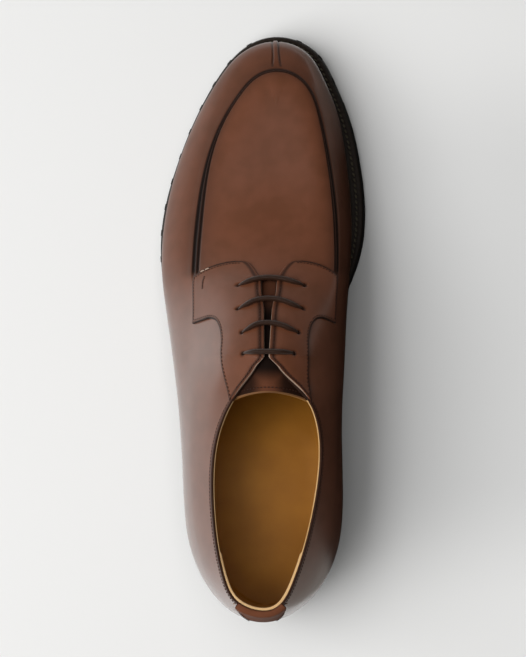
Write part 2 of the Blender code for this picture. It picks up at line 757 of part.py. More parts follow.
def make_tongue(collection):
    """Tongue: arches across the foot, lifted by a smooth curve from one row of the table to the next."""
    table = TONGUE[::-1]
    stations = np.array(column_of(table, "station"), float)
    station = np.linspace(stations[0], stations[-1], TONGUE_ROWS)[:, None]
    across = np.linspace(-1, 1, TONGUE_COLUMNS)
    x = spline(stations, column_of(table, "x"), station)
    z = spline(stations, column_of(table, "z"), station)
    half_width = spline(stations, column_of(table, "half_width"), station)
    drop = spline(stations, column_of(table, "drop"), station)
    trailing = TONGUE_TRAIL * across ** 2 * ease(SLOT_TOP, stations[0], station)
    points = np.stack((x + half_width * across, station - trailing,
                       z - drop * np.abs(across) ** TONGUE_BEND), axis=-1)
    tongue = add_object("tongue", mesh_from("tongue", points, grid_faces(*points.shape[:2])), collection,
                        "brown_calf")
    thicken(tongue, TONGUE_THICKNESS, -1)
    return tongue


def eyelet(row, medial):
    """Level of an eyelet, its middle on the upper's surface, and the direction out of it."""
    angle = angle_at(row.station, medial)
    level = row.medial_level if medial else row.lateral_level
    return level, upper_base(angle, level), outward(angle, level)


def make_eyelet_drill(medial, cutters):
    """Four short rods through one facing, joined as a cutter."""
    name = "eyelet_drill_medial" if medial else "eyelet_drill_lateral"
    drill = bmesh.new()
    for row in LACE_ROWS:
        _, middle, out = eyelet(row, medial)
        turn = Vector(out).to_track_quat("Z", "Y").to_matrix().to_4x4()
        turn.translation = to_metres(middle)
        bmesh.ops.create_cone(drill, cap_ends=True, segments=EYELET_SIDES, radius1=EYELET_RADIUS * MM,
                              radius2=EYELET_RADIUS * MM, depth=DRILL_DEPTH * MM, matrix=turn)
    mesh = bpy.data.meshes.new(name)
    drill.to_mesh(mesh)
    drill.free()
    item = bpy.data.objects.new(name, mesh)
    cutters.objects.link(item)
    item.hide_render = True
    item.display_type = "WIRE"
    return item


def make_lace_bar(collection, number, row):
    """One straight bar of the lace: up through an eyelet, over both facings and down the other side."""
    lift = SKIN_GAP + OVERLAY + GAP + LACE_RADIUS
    sides = []
    for medial in (False, True):
        level, middle, out = eyelet(row, medial)
        run = np.linspace(level + LACE_FIRST, LACE_LAST, LACE_STEPS)
        share = (run - level) / (3 - level)
        bow = (row.centre_station - row.station) * (1 - (1 - share) ** 2)
        over = offset_surface(angle_at(row.station + bow, medial), run, np.full(LACE_STEPS, lift))
        rising = [middle + out * distance for distance in (-LACE_SUNK, OVERLAY, lift - LACE_BEND)]
        sides.append(np.concatenate((rising, over)))
    path = np.concatenate((sides[0], sides[1][::-1]))
    curve = bpy.data.curves.new("lace_bar_" + str(number), "CURVE")
    curve.dimensions = "3D"
    curve.bevel_depth = LACE_RADIUS * MM
    curve.bevel_resolution = 2
    curve.use_fill_caps = True
    line = curve.splines.new("POLY")
    line.points.add(len(path) - 1)
    for point, place in zip(line.points, to_metres(path)):
        point.co = (*place, 1.0)
    return add_object("lace_bar_" + str(number), curve, collection, "waxed_lace")


def main():
    for item in list(bpy.data.objects):
        bpy.data.objects.remove(item)
    shoe = bpy.data.collections.new("split_toe_derby_shoe")
    cutters = bpy.data.collections.new("cutters")
    for collection in (shoe, cutters):
        bpy.context.scene.collection.children.link(collection)
    make_outsole(shoe)
    make_heel(shoe, cutters)
    make_welt(shoe)
    make_insole(shoe)
    upper = make_upper(shoe)
    make_tongue(shoe)
    make_heel_patch(shoe)
    for medial in (True, False):
        facing = make_facing(shoe, medial)
        drill = make_eyelet_drill(medial, cutters)
        cut(facing, drill)
        cut(upper, drill)
    for number, row in enumerate(LACE_ROWS, 1):
        make_lace_bar(shoe, number, row)


main()
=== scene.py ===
# %% [markdown]
# A left split-toe derby shoe, dressed for its picture.
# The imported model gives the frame: every solid at its real size and place. This lesson gives each solid its
# finished surface: leather with its seams and stitches, lining, welt, rubber sole and lace.

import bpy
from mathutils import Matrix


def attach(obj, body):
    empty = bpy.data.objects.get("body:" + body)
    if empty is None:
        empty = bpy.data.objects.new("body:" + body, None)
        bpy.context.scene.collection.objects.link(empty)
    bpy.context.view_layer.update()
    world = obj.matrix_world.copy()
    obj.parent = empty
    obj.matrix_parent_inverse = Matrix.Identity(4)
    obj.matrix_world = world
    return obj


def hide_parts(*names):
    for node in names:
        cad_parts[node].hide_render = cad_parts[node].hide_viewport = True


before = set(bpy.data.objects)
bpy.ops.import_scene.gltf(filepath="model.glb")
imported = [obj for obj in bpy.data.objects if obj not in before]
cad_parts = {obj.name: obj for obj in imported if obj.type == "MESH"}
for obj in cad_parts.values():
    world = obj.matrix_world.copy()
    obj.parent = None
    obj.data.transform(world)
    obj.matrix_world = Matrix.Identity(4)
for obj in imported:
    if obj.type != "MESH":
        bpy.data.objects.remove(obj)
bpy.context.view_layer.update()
print("packed nodes:", sorted(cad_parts))

# %% [markdown]
# A shoe takes its form from a last. The last here is four closed lines round the foot: the edge where the
# upper meets the welt, the widest line, the shoulder (which is the apron seam over the vamp) and the top
# edge. A sculpted mesh could hold the same form, but lines in short tables can be read and changed, and
# every seam and stitch can be placed by a station (millimetres from the heel) and a level (0 at the welt, 3
# at the top).

# %% Sizes of the sole
import math
from collections import namedtuple

import bmesh
import bpy
import numpy as np
from mathutils import Matrix

MM = 0.001
TURN = 2 * math.pi
HALF_TURN = np.linspace(0, math.pi, 2001)
SOLE_LENGTH = 302.0
HEEL_HEIGHT = 20.5
TOE_SPRING = 11.5
OUTSOLE_THICKNESS = 5.5
WELT_THICKNESS = 3.0
GAP = 0.3
HEEL_SEAT_END = 58.0
HEEL_BREAST = 72.0
BALL_BACK = 172.0
BALL_FRONT = 222.0
SOLE_FLARE = 1.3
HEEL_INSET = 2.6
TOE_INSET = 6.4

End = namedtuple("End", "station x z")
Edge = namedtuple("Edge", "station lateral medial lateral_inset medial_inset")

SOLE_HEEL = End(1.0, 2.9, 0.0)
SOLE_TOE = End(302.0, 7.6, 0.0)
SOLE_EDGE = [
    Edge(15, -22.6, 28.4, 2.8, 2.8),
    Edge(40, -34.6, 40.2, 3.0, 3.2),
    Edge(62, -36.8, 42.2, 3.2, 3.8),
    Edge(90, -36.9, 38.0, 3.2, 4.6),
    Edge(115, -39.0, 33.2, 3.2, 4.6),
    Edge(140, -44.6, 35.2, 3.6, 4.6),
    Edge(165, -51.6, 43.4, 4.6, 6.0),
    Edge(185, -54.4, 51.0, 5.2, 7.8),
    Edge(205, -53.6, 54.0, 5.4, 8.4),
    Edge(235, -46.0, 51.6, 5.6, 8.0),
    Edge(258, -36.8, 46.4, 5.6, 7.4),
    Edge(278, -25.8, 38.4, 5.8, 7.0),
    Edge(292, -14.9, 30.4, 6.0, 6.6),
]
print("sole", SOLE_LENGTH, "mm long, heel", HEEL_HEIGHT, "mm high, toe spring", TOE_SPRING, "mm")

# %% [markdown]
# The upper's three lines. The widest line is low on the wall at the ball and high at the heel. The shoulder
# is where the wall turns over. The top edge runs round the collar, along the lace slot and then along
# the middle of the vamp as a ridge that both sides share.

# %% Sizes of the upper
UPPER_LENGTH = 298.5
WALL = 2.0
HEEL_ROUND = 60.0
TOE_ROUND = 190.0
COLLAR_BLEND = 112.0
SLOT_TOP = 134.0
VAMP_START = 140.0
SLOT_FRONT = 172.0
SLOT_CLOSED = 173.5
RIDGE_TOE = 262.0

Section = namedtuple("Section", "station lateral medial lateral_z medial_z")
Ridge = namedtuple("Ridge", "station x z")

BULGE_HEEL = End(0.0, 2.4, 48.0)
BULGE_TOE = End(297.4, 7.6, 28.0)
BULGE = [
    Section(15, -24.2, 30.0, 47.5, 48.0),
    Section(40, -35.8, 41.0, 47.0, 48.0),
    Section(75, -39.0, 42.7, 46.0, 48.5),
    Section(105, -41.2, 42.3, 43.5, 48.5),
    Section(134, -44.9, 43.8, 39.0, 46.0),
    Section(155, -48.2, 44.7, 33.5, 42.0),
    Section(177, -51.4, 46.2, 27.0, 34.5),
    Section(205, -50.5, 47.0, 21.5, 25.5),
    Section(235, -43.2, 44.2, 22.0, 24.0),
    Section(258, -33.7, 40.3, 23.5, 25.0),
    Section(277, -22.8, 33.2, 25.5, 26.5),
    Section(290, -12.0, 25.6, 27.2, 27.6),
]

SHOULDER_HEEL = End(2.2, 3.2, 71.0)
SHOULDER_TOE = End(281.6, 8.8, 40.5)
SHOULDER = [
    Section(15, -20.0, 25.9, 69.5, 70.5),
    Section(40, -30.6, 36.0, 66.5, 69.0),
    Section(75, -34.2, 39.6, 63.5, 66.5),
    Section(105, -34.4, 39.9, 63.5, 68.0),
    Section(134, -34.0, 39.6, 61.0, 67.5),
    Section(155, -33.9, 39.8, 56.0, 64.0),
    Section(177, -34.0, 40.6, 49.3, 56.5),
    Section(205, -32.4, 40.0, 43.5, 48.2),
    Section(233, -27.6, 36.5, 41.7, 44.4),
    Section(252.6, -20.6, 32.6, 40.9, 42.4),
    Section(267.0, -12.2, 28.4, 40.6, 41.2),
    Section(276.9, -3.8, 21.6, 40.5, 40.7),
]

TOPLINE_HEEL = End(8.6, 4.6, 93.5)
TOPLINE = [
    Section(15, -10.7, 15.8, 92.2, 92.6),
    Section(25, -15.7, 20.4, 89.4, 90.8),
    Section(40, -19.3, 25.3, 84.8, 87.4),
    Section(58, -21.5, 29.6, 80.9, 84.6),
    Section(75, -21.9, 32.3, 79.5, 83.5),
    Section(90, -20.3, 33.0, 81.0, 84.8),
    Section(104, -15.9, 31.0, 85.1, 88.2),
    Section(116, -8.9, 24.6, 90.8, 92.6),
    Section(126, -0.7, 14.2, 96.0, 96.2),
    Section(SLOT_TOP, 3.8, 8.8, 98.6, 98.8),
    Section(SLOT_FRONT, 2.4, 10.2, 70.8, 70.9),
]

RIDGE = [
    Ridge(SLOT_TOP, 6.5, 99.0),
    Ridge(145, 6.6, 92.2),
    Ridge(158, 6.4, 82.6),
    Ridge(SLOT_FRONT, 6.3, 71.2),
    Ridge(185, 6.9, 61.8),
    Ridge(200, 7.5, 54.6),
    Ridge(215, 8.0, 50.3),
    Ridge(240, 8.5, 47.0),
    Ridge(RIDGE_TOE, 8.8, 45.0),
]
print("rows of the last:", len(SOLE_EDGE), len(BULGE), len(SHOULDER), len(TOPLINE), len(RIDGE))

# %% [markdown]
# Curves through the tables. A cubic spline passes through every row and keeps its slope and bend, so light
# runs over the leather without a break. Straight lines between the rows would show as facets.


# %% Curves through the tables
def column_of(table, name):
    """One column of a table, as a list from its first row to its last."""
    return [getattr(row, name) for row in table]


def spline(knots, values, at, closed=False):
    """Cubic spline through values at knots, natural at its ends, or closed over one whole turn."""
    knots = np.asarray(knots, float)
    values = np.asarray(values, float)
    at = np.asarray(at, float)
    if closed:
        at = np.mod(at - knots[0], TURN) + knots[0]
        knots = np.append(knots, knots[0] + TURN)
        values = np.append(values, values[0])
    step = np.diff(knots)
    slope = np.diff(values) / step
    count = len(knots)
    inner = np.arange(1, count - 1)
    system = np.eye(count)
    system[inner, inner - 1] = step[:-1]
    system[inner, inner] = 2 * (step[:-1] + step[1:])
    system[inner, inner + 1] = step[1:]
    right = np.zeros(count)
    right[inner] = 6 * np.diff(slope)
    if closed:
        system[0, :2] = 2 * (step[-1] + step[0]), step[0]
        system[0, -2] = step[-1]
        right[0] = 6 * (slope[0] - slope[-1])
        system[-1, 0] = -1
    bend = np.linalg.solve(system, right)
    i = np.clip(np.searchsorted(knots, at, side="right") - 1, 0, count - 2)
    after = at - knots[i]
    before = knots[i + 1] - at
    curve = (bend[i] * before ** 3 + bend[i + 1] * after ** 3) / (6 * step[i])
    start = values[i] / step[i] - bend[i] * step[i] / 6
    end = values[i + 1] / step[i] - bend[i + 1] * step[i] / 6
    return curve + start * before + end * after


print("spline through 0, 1 and 0, half way to its top:", spline([0, 1, 2], [0, 1, 0], 0.5))

# %% [markdown]
# Soft steps and lengths. Nothing on rubbed leather starts or stops at once, so edges of wax, polish and
# relief are eased in and out. A hard step would show as a line on the leather.


# %% Soft steps and lengths
def ease(low, high, value):
    """Rises smoothly from 0 at low to 1 at high; low may be the larger of the two."""
    share = np.clip((np.asarray(value, float) - low) / (high - low), 0, 1)
    return share * share * (3 - 2 * share)


def bump(share):
    """A rounded hump of height 1 that falls to 0 where share reaches 1."""
    return np.clip(1 - np.asarray(share, float) ** 2, 0, 1) ** 2


def length_of(vector):
    """Length of each vector, kept as a last axis of one."""
    return np.linalg.norm(vector, axis=-1, keepdims=True)


def unit(vector):
    """Each vector divided by its own length."""
    return vector / length_of(vector)


print("half of the way up an ease:", ease(0, 1, 0.5), "and the side of a bump:", bump(0.5))

# %% [markdown]
# Lines round the shoe. A line is asked by an angle that goes round it as seen from above, 0 at the back of
# the heel and half a turn at the toe, medial side first. Half a cosine turns the angle into a station,
# which crowds the points at the heel and the toe, where the line bends most.


# %% Lines round the shoe
def shifted_station(angle, heel_station, toe_station):
    """Station of a line at an angle: half a cosine along the shoe, leaning in at the heel and the toe."""
    station = UPPER_LENGTH * (1 - np.cos(angle)) / 2
    near_heel = np.clip(1 - station / HEEL_ROUND, 0, 1) ** 2
    near_toe = np.clip((station - TOE_ROUND) / (UPPER_LENGTH - TOE_ROUND), 0, 1) ** 2
    return station + heel_station * near_heel + (toe_station - UPPER_LENGTH) * near_toe


def angle_at(station, medial, heel_station=0.0, toe_station=UPPER_LENGTH):
    """Angle at which a line with these ends reaches a station, on one side."""
    angle = np.interp(station, shifted_station(HALF_TURN, heel_station, toe_station), HALF_TURN)
    return angle if medial else TURN - angle


class Line:
    """A closed line round the shoe, through its two ends and the rows of a table."""

    def __init__(self, heel, toe, table):
        """Keeps the table and works out the angle of each of its rows, on both sides."""
        self.heel = heel
        self.toe = toe
        self.table = table
        medial = angle_at(column_of(table, "station"), True, heel.station, toe.station)
        self.knots = np.concatenate(([0.0], medial, [math.pi], (TURN - medial)[::-1]))

    def read(self, angle, medial, lateral, heel, toe):
        """A value at an angle, from one column for each side and a value for each end."""
        medial_values = column_of(self.table, medial)
        lateral_values = column_of(self.table, lateral)[::-1]
        return spline(self.knots, [heel, *medial_values, toe, *lateral_values], angle, closed=True)

    def station(self, angle):
        """How far from the heel the line is at an angle."""
        return shifted_station(angle, self.heel.station, self.toe.station)

    def across(self, angle):
        """How far to the medial side the line is at an angle."""
        return self.read(angle, "medial", "lateral", self.heel.x, self.toe.x)

    def points(self, angle):
        """Points of the line at angles."""
        height = self.read(angle, "medial_z", "lateral_z", self.heel.z, self.toe.z)
        return np.stack((self.across(angle), self.station(angle), height), axis=-1)


SOLE_LINE = Line(SOLE_HEEL, SOLE_TOE, SOLE_EDGE)
BULGE_LINE = Line(BULGE_HEEL, BULGE_TOE, BULGE)
SHOULDER_LINE = Line(SHOULDER_HEEL, SHOULDER_TOE, SHOULDER)
print("widest line at the ball, medial side:", BULGE_LINE.points(angle_at(205, True)).round(1))

# %% [markdown]
# The sole's plan and underside. Outsole, welt, heel and insole all follow the sole's edge, so one function
# gives the edge at any inset and another lifts it to a height above the tread.


# %% Plan and underside of the sole
def tread_height(station):
    """Underside of the outsole: level on the heel, down the arch, flat at the ball, up at the toe."""
    arch = HEEL_HEIGHT * (1 - ease(HEEL_SEAT_END, BALL_BACK, station))
    spring = np.clip((station - BALL_FRONT) / (SOLE_LENGTH - BALL_FRONT), 0, 1) ** 2
    return arch + TOE_SPRING * spring


def sole_loop(angle, inset):
    """The sole's edge in plan, moved inwards by inset along its own normal."""
    nudge = 1e-4
    along_x = SOLE_LINE.across(angle + nudge) - SOLE_LINE.across(angle - nudge)
    along_y = SOLE_LINE.station(angle + nudge) - SOLE_LINE.station(angle - nudge)
    length = np.hypot(along_x, along_y)
    x = SOLE_LINE.across(angle) - inset * along_y / length
    return x, SOLE_LINE.station(angle) + inset * along_x / length


def sole_points(angle, inset, rise):
    """Points on a loop inside the sole's edge, at a height above the tread."""
    x, y = sole_loop(angle, inset)
    return np.stack((x, y, tread_height(y) + rise), axis=-1)


def feather_inset(angle):
    """How far inside the sole's edge the upper meets the welt."""
    return SOLE_LINE.read(angle, "medial_inset", "lateral_inset", HEEL_INSET, TOE_INSET)


def sole_flare(angle):
    """How far the top of the sole's edge stands inside its foot: not at the heel, fully from the ball on."""
    return SOLE_FLARE * ease(HEEL_BREAST, BALL_BACK, SOLE_LINE.station(angle))


print("tread at heel, ball and toe:", tread_height(np.array((0.0, 200.0, SOLE_LENGTH))).round(1), "mm")

# %% [markdown]
# The top edge is three lines in one: the collar, the two edges of the lace slot, and past the slot the
# ridge of the vamp, where both sides meet. Separate edges would have to be joined point by point. As one
# function of the angle they can't come apart.


# %% Top edge of the upper
def ridge_value(name, station):
    """One column of the ridge's table at a station."""
    return spline(column_of(RIDGE, "station"), column_of(RIDGE, name), station)


def ridge_height(station):
    """Height of the ridge, held level past both of its ends."""
    return ridge_value("z", np.clip(station, SLOT_TOP, RIDGE_TOE))


def topline_points(angle):
    """Top edge of the wall: the collar, the slot's edges, then the ridge line that both sides share."""
    station = shifted_station(angle, TOPLINE_HEEL.station, RIDGE_TOE)
    turn = np.mod(angle, TURN)
    on_medial = turn <= math.pi
    collar = TOPLINE[:-1]
    half = angle_at(column_of(collar, "station"), True, TOPLINE_HEEL.station, RIDGE_TOE)
    knots = np.concatenate((-half[::-1], [0.0], half))
    signed = np.where(on_medial, turn, turn - TURN)

    def collar_value(lateral, heel, medial):
        """A value of the collar, from lateral to medial over the back of the heel."""
        return spline(knots, [*column_of(collar, lateral)[::-1], heel, *column_of(collar, medial)], signed)

    slot = TOPLINE[-2:]
    slot_medial, slot_lateral = [np.interp(station, column_of(slot, "station"), column_of(slot, side))
                                 for side in ("medial", "lateral")]
    slot_x = np.where(on_medial, slot_medial, slot_lateral)
    closing = np.clip((station - SLOT_FRONT) / (SLOT_CLOSED - SLOT_FRONT), 0, 1)
    slot_x = slot_x + closing * (ridge_value("x", station) - slot_x)
    slot_z = ridge_value("z", station) - (1 - closing) * GAP
    in_collar = station < SLOT_TOP
    x = np.where(in_collar, collar_value("lateral", TOPLINE_HEEL.x, "medial"), slot_x)
    z = np.where(in_collar, collar_value("lateral_z", TOPLINE_HEEL.z, "medial_z"), slot_z)
    return np.stack((x, station, z), axis=-1)


print("top edge at the back of the heel:", topline_points(0.0).round(1))

# %% [markdown]
# The smooth surface of the upper. Each column is one curve from the welt to the top edge. Seams and
# overlays are then heights over this one surface, measured along its normal, so they always follow the form
# of the foot.


# %% Smooth surface of the upper
def upper_base(angle, level):
    """The upper's smooth outer surface. Level 0 is the welt, 1 the widest line, 2 the shoulder, 3 the top.

    Each column is a smooth curve through its four points: the direction at an inner point is the mean of its
    two chords, weighted by the other chord's length, and over the vamp the curve ends level across the ridge.
    """
    angle, level = np.broadcast_arrays(np.asarray(angle, float), np.asarray(level, float))
    foot = sole_points(angle, feather_inset(angle), OUTSOLE_THICKNESS + WELT_THICKNESS + 2 * GAP)
    points = [foot, BULGE_LINE.points(angle), SHOULDER_LINE.points(angle), topline_points(angle)]
    chords = [after - before for before, after in zip(points, points[1:])]
    lengths = [length_of(chord) for chord in chords]
    along = [unit(chord) for chord in chords]
    inner = [(along[i] * lengths[i + 1] + along[i + 1] * lengths[i]) / (lengths[i] + lengths[i + 1])
             for i in (0, 1)]
    first = (3 * along[0] - inner[0]) / 2
    free = (3 * along[2] - inner[1]) / 2
    station = points[3][..., 1]
    level_end = chords[2].copy()
    ridge_slope = ridge_height(station + 0.5) - ridge_height(station - 0.5)
    level_end[..., 2] = ridge_slope * level_end[..., 1]
    over_vamp = ease(COLLAR_BLEND, VAMP_START, station)[..., None]
    slopes = [first, *inner, free + over_vamp * (unit(level_end) - free)]
    result = np.zeros(angle.shape + (3,))
    for i in range(3):
        share = np.clip(level - i, 0, 1)[..., None]
        curve = ((2 * share ** 3 - 3 * share ** 2 + 1) * points[i]
                 + (share ** 3 - 2 * share ** 2 + share) * lengths[i] * slopes[i]
                 + (3 * share ** 2 - 2 * share ** 3) * points[i + 1]
                 + (share ** 3 - share ** 2) * lengths[i] * slopes[i + 1])
        here = (level >= i) & (level <= i + 1)
        result = np.where(here[..., None], curve, result)
    return result


print("upper at the ball, lateral side:", upper_base(angle_at(205, False), 1.0).round(1))

# %% [markdown]
# Directions on that surface. A seam, a facing or a stitch stands on the leather, so it needs the way
# straight out of it. Blender has the normals of a mesh, but the formula gives them at any place before
# there is a mesh.

# %% Directions and distances on the upper
NORMAL_TOP = 2.98
RIM_FOOT = 2.97


def outward(angle, level):
    """Unit normal of the smooth surface, pointing out of the shoe."""
    nudge = 1e-3
    level = np.minimum(level, NORMAL_TOP)
    around = upper_base(angle + nudge, level) - upper_base(angle - nudge, level)
    up = upper_base(angle, level + nudge) - upper_base(angle, np.clip(level - nudge, 0, 3))
    return unit(np.cross(around, up))


def upward(angle):
    """Unit direction in which the wall reaches its top edge."""
    return unit(upper_base(angle, 3.0) - upper_base(angle, RIM_FOOT))


def offset_surface(angle, level, distance):
    """A point at a distance outside the smooth surface."""
    return upper_base(angle, level) + np.asarray(distance)[..., None] * outward(angle, level)


def panel_lengths(angle):
    """Lengths of a column from the shoulder up to the top edge and down to the widest line."""
    shoulder = SHOULDER_LINE.points(angle)
    to_top = length_of(topline_points(angle) - shoulder)[..., 0]
    to_bulge = length_of(BULGE_LINE.points(angle) - shoulder)[..., 0]
    return to_top, to_bulge


print("straight out at the ball, lateral side:", outward(angle_at(205, False), 1.0).round(2))

# %% [markdown]
# Every piece below is a grid of points, stored row by row. Its faces join neighbours in the grid, so they
# are worked out as arrays of point numbers. Blender's own primitives have such faces too, but only for
# their own shapes.


# %% Faces of a grid
def to_metres(points):
    """Millimetres from the heel become metres from the middle of the shoe."""
    return (np.asarray(points, float).reshape(-1, 3) - (0.0, SOLE_LENGTH / 2, 0.0)) * MM


def grid_quads(rows, columns, wrap_rows=False, wrap_columns=False):
    """Corners of the quads of a grid stored row by row, with its ends joined where it wraps."""
    row = np.arange(rows if wrap_rows else rows - 1)[:, None]
    column = np.arange(columns if wrap_columns else columns - 1)[None, :]
    low = row * columns
    high = (row + 1) % rows * columns
    beside = (column + 1) % columns
    return np.stack((low + column, low + beside, high + beside, high + column), axis=-1).reshape(-1, 4)


def end_caps(rings, turns):
    """The first and the last ring of a stack as two faces."""
    return np.stack((np.arange(turns)[::-1], np.arange(turns) + (rings - 1) * turns))


def closed_sheet(top, bottom):
    """Points and faces of two grids, one over the other, joined round their border."""
    rows, columns = top.shape[:2]
    size = rows * columns
    quads = grid_quads(rows, columns)
    number = np.arange(size).reshape(rows, columns)
    border = np.concatenate((number[0], number[1:, -1], number[-1, -2::-1], number[-2:0:-1, 0]))
    following = np.roll(border, -1)
    sides = np.stack((border, border + size, following + size, following), axis=-1)
    points = np.concatenate((top.reshape(-1, 3), bottom.reshape(-1, 3)))
    return points, np.concatenate((quads, quads[:, ::-1] + size, sides))


def on_top(value):
    """Values of a closed sheet: as given on its top grid, 0 on the grid below."""
    return np.concatenate((value.ravel(), np.zeros(value.size)))


print("a grid of 3 by 4 points has", len(grid_quads(3, 4)), "quads")

# %% [markdown]
# From points and faces to a piece. The mesh gets its values for the materials, the points that coincide at
# poles and seams are merged, and the piece rides on the shoe and takes the place of its solid.


# %% From points and faces to a piece of the shoe
def add_piece(name, points, faces, materials, replaced=(), values=None, uv=None, face_materials=None):
    """A mesh piece that rides on the shoe and stands for the solids that it replaces.

    The faces come as arrays of corners, one array for each number of corners.
    """
    mesh = bpy.data.meshes.new(name)
    mesh.from_pydata(to_metres(points).tolist(), [], sum((part.tolist() for part in faces), []))
    for value_name, value in (values or {}).items():
        layer = mesh.attributes.new(value_name, "FLOAT", "POINT")
        layer.data.foreach_set("value", np.asarray(value, np.float32).ravel())
    if face_materials is not None:
        mesh.polygons.foreach_set("material_index", np.asarray(face_materials, np.int32))
    if uv is not None:
        corners = np.empty(len(mesh.loops), np.int32)
        mesh.loops.foreach_get("vertex_index", corners)
        layer = mesh.uv_layers.new(name="length_and_turn")
        layer.data.foreach_set("uv", np.asarray(uv, np.float32).reshape(-1, 2)[corners].ravel())
    work = bmesh.new()
    work.from_mesh(mesh)
    bmesh.ops.remove_doubles(work, verts=work.verts, dist=1e-6)
    bmesh.ops.dissolve_degenerate(work, edges=work.edges, dist=1e-7)
    work.to_mesh(mesh)
    work.free()
    mesh.shade_smooth()
    piece = bpy.data.objects.new(name, mesh)
    bpy.context.scene.collection.objects.link(piece)
    for material in materials:
        mesh.materials.append(material)
    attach(piece, "root")
    if replaced:
        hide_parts(*replaced)
    mesh.calc_loop_triangles()
    print(name, len(mesh.loop_triangles), "triangles")


# %% [markdown]
# Materials. Each is named for what the real one is and how it was made. Colours are written as they look on
# screen and turned into the linear values that light works with.


# %% Colours and nodes
def colour(hex_code):
    """A colour written as six hex digits, turned from sRGB to linear light."""
    parts = np.array([int(hex_code[i:i + 2], 16) for i in (1, 3, 5)]) / 255
    linear = np.where(parts <= 0.04045, parts / 12.92, ((parts + 0.055) / 1.055) ** 2.4)
    return (*linear.tolist(), 1.0)


def add_node(tree, kind, inputs=None, **settings):
    """Adds a node with its settings; an input is a plain value or another node's output."""
    made = tree.nodes.new(kind)
    for name, value in settings.items():
        setattr(made, name, value)
    for name, value in (inputs or {}).items():
        if isinstance(value, bpy.types.NodeSocket):
            tree.links.new(value, made.inputs[name])
        else:
            made.inputs[name].default_value = value
    return made


def new_material(name, **shader_values):
    """A material with its node tree, its shader and its object coordinates."""
    material = bpy.data.materials.new(name)
    material.use_nodes = True
    tree = material.node_tree
    shader = tree.nodes["Principled BSDF"]
    for socket, value in shader_values.items():
        shader.inputs[socket.replace("_", " ")].default_value = value
    place = add_node(tree, "ShaderNodeTexCoord").outputs["Object"]
    return material, tree, shader, place


print("brown of the calf in linear light:", [round(part, 3) for part in colour("#693f2c")[:3]])

# %% [markdown]
# Polished calf. The skin is dyed through, pressed smooth and waxed, so it has an even satin gloss with a
# thin clear coat over it, a slow mottle from the dye, and a grain of fine pores. The maker rubs dark wax
# into the seams and edges, and polishes the quarters more than the vamp. The same near black also holds
# painted shade: in the grooves of the seams, at the welt, along the facings' edges, round the lace holes
# and on the tongue under the lacing. A painted picture could hold all this, but wax, shade and polish
# follow the pattern of the shoe, so they are values of the mesh and keep their place at any size.

# %% Polished calf leather
# Real pores are about 0.2 mm wide; they are drawn coarser, so that their grain can show at all.
PORE_SIZE = 0.9 * MM
MOTTLE_SIZE = 26 * MM
STREAK_SIZE = 7 * MM
GLOSS_SPREAD = 0.04


def calf_leather(name, light, deep, wax_and_shade_colour, roughness, shine):
    """Calf: two browns mixed by a slow mottle, dark wax and painted shade where wax_and_shade is 1,
    a clear coat where polish is 1.

    The gloss drifts with the mottle, and a faint bump of pores breaks it up.
    """
    material, tree, shader, place = new_material(name, Coat_Roughness=0.22, Coat_IOR=1.9, IOR=1.5,
                                                 Specular_IOR_Level=shine)
    polish = add_node(tree, "ShaderNodeAttribute", attribute_name="polish")
    tree.links.new(polish.outputs["Fac"], shader.inputs["Coat Weight"])
    noises = [add_node(tree, "ShaderNodeTexNoise", {"Vector": place, "Scale": 1 / size, "Detail": detail})
              for size, detail in ((MOTTLE_SIZE, 1.5), (STREAK_SIZE, 1.0), (PORE_SIZE, 1.0))]
    mottle, streak, pores = [noise.outputs["Fac"] for noise in noises]
    spread = add_node(tree, "ShaderNodeMath", {0: mottle, 1: streak}, operation="MULTIPLY")
    share = add_node(tree, "ShaderNodeMapRange",
                     {"Value": spread.outputs[0], "From Min": 0.14, "From Max": 0.36})
    dye = add_node(tree, "ShaderNodeMix", {0: share.outputs[0], 6: colour(light), 7: colour(deep)},
                   data_type="RGBA")
    wax_and_shade_share = add_node(tree, "ShaderNodeAttribute", attribute_name="wax_and_shade")
    wax_and_shade_mix = add_node(tree, "ShaderNodeMix",
                     {0: wax_and_shade_share.outputs["Fac"], 6: dye.outputs[2], 7: colour(wax_and_shade_colour)}, data_type="RGBA")
    tree.links.new(wax_and_shade_mix.outputs[2], shader.inputs["Base Color"])
    gloss = add_node(tree, "ShaderNodeMapRange",
                     {"Value": mottle, "From Min": 0.3, "From Max": 0.7,
                      "To Min": roughness - GLOSS_SPREAD, "To Max": roughness + GLOSS_SPREAD})
    tree.links.new(gloss.outputs[0], shader.inputs["Roughness"])
    grain = add_node(tree, "ShaderNodeBump", {"Height": pores, "Strength": 0.1, "Distance": 0.05 * MM})
    tree.links.new(grain.outputs["Normal"], shader.inputs["Normal"])
    return material


# Polished calf gives the eye a deep, warm brown under a soft gloss. Unpolished calf is the same brown, dull.
# Their near black is that of dark wax and of painted shade.
CALF = calf_leather("polished_calf_brown", "#693f2c", "#613a27", "#160e0b", 0.4, 0.4)
MATT_CALF = calf_leather("unpolished_calf_brown", "#693f2c", "#613a27", "#160e0b", 0.7, 0.15)
print("made", CALF.name, MATT_CALF.name)

# %% [markdown]
# Lining, sock and cut edges. They are thin vegetable-tanned leather, undyed and unwaxed, so they are matt,
# golden tan and a little uneven. The sock is the part that shows most through the collar. An edge that is
# cut through dyed calf shows the paler middle of the skin.

# %% Tan lining leather
# Real fibres are about 0.1 mm thick; they are drawn coarser, so that the nap can show.
FIBRE_SIZE = 1.6 * MM
TAN_PATCH = 30 * MM


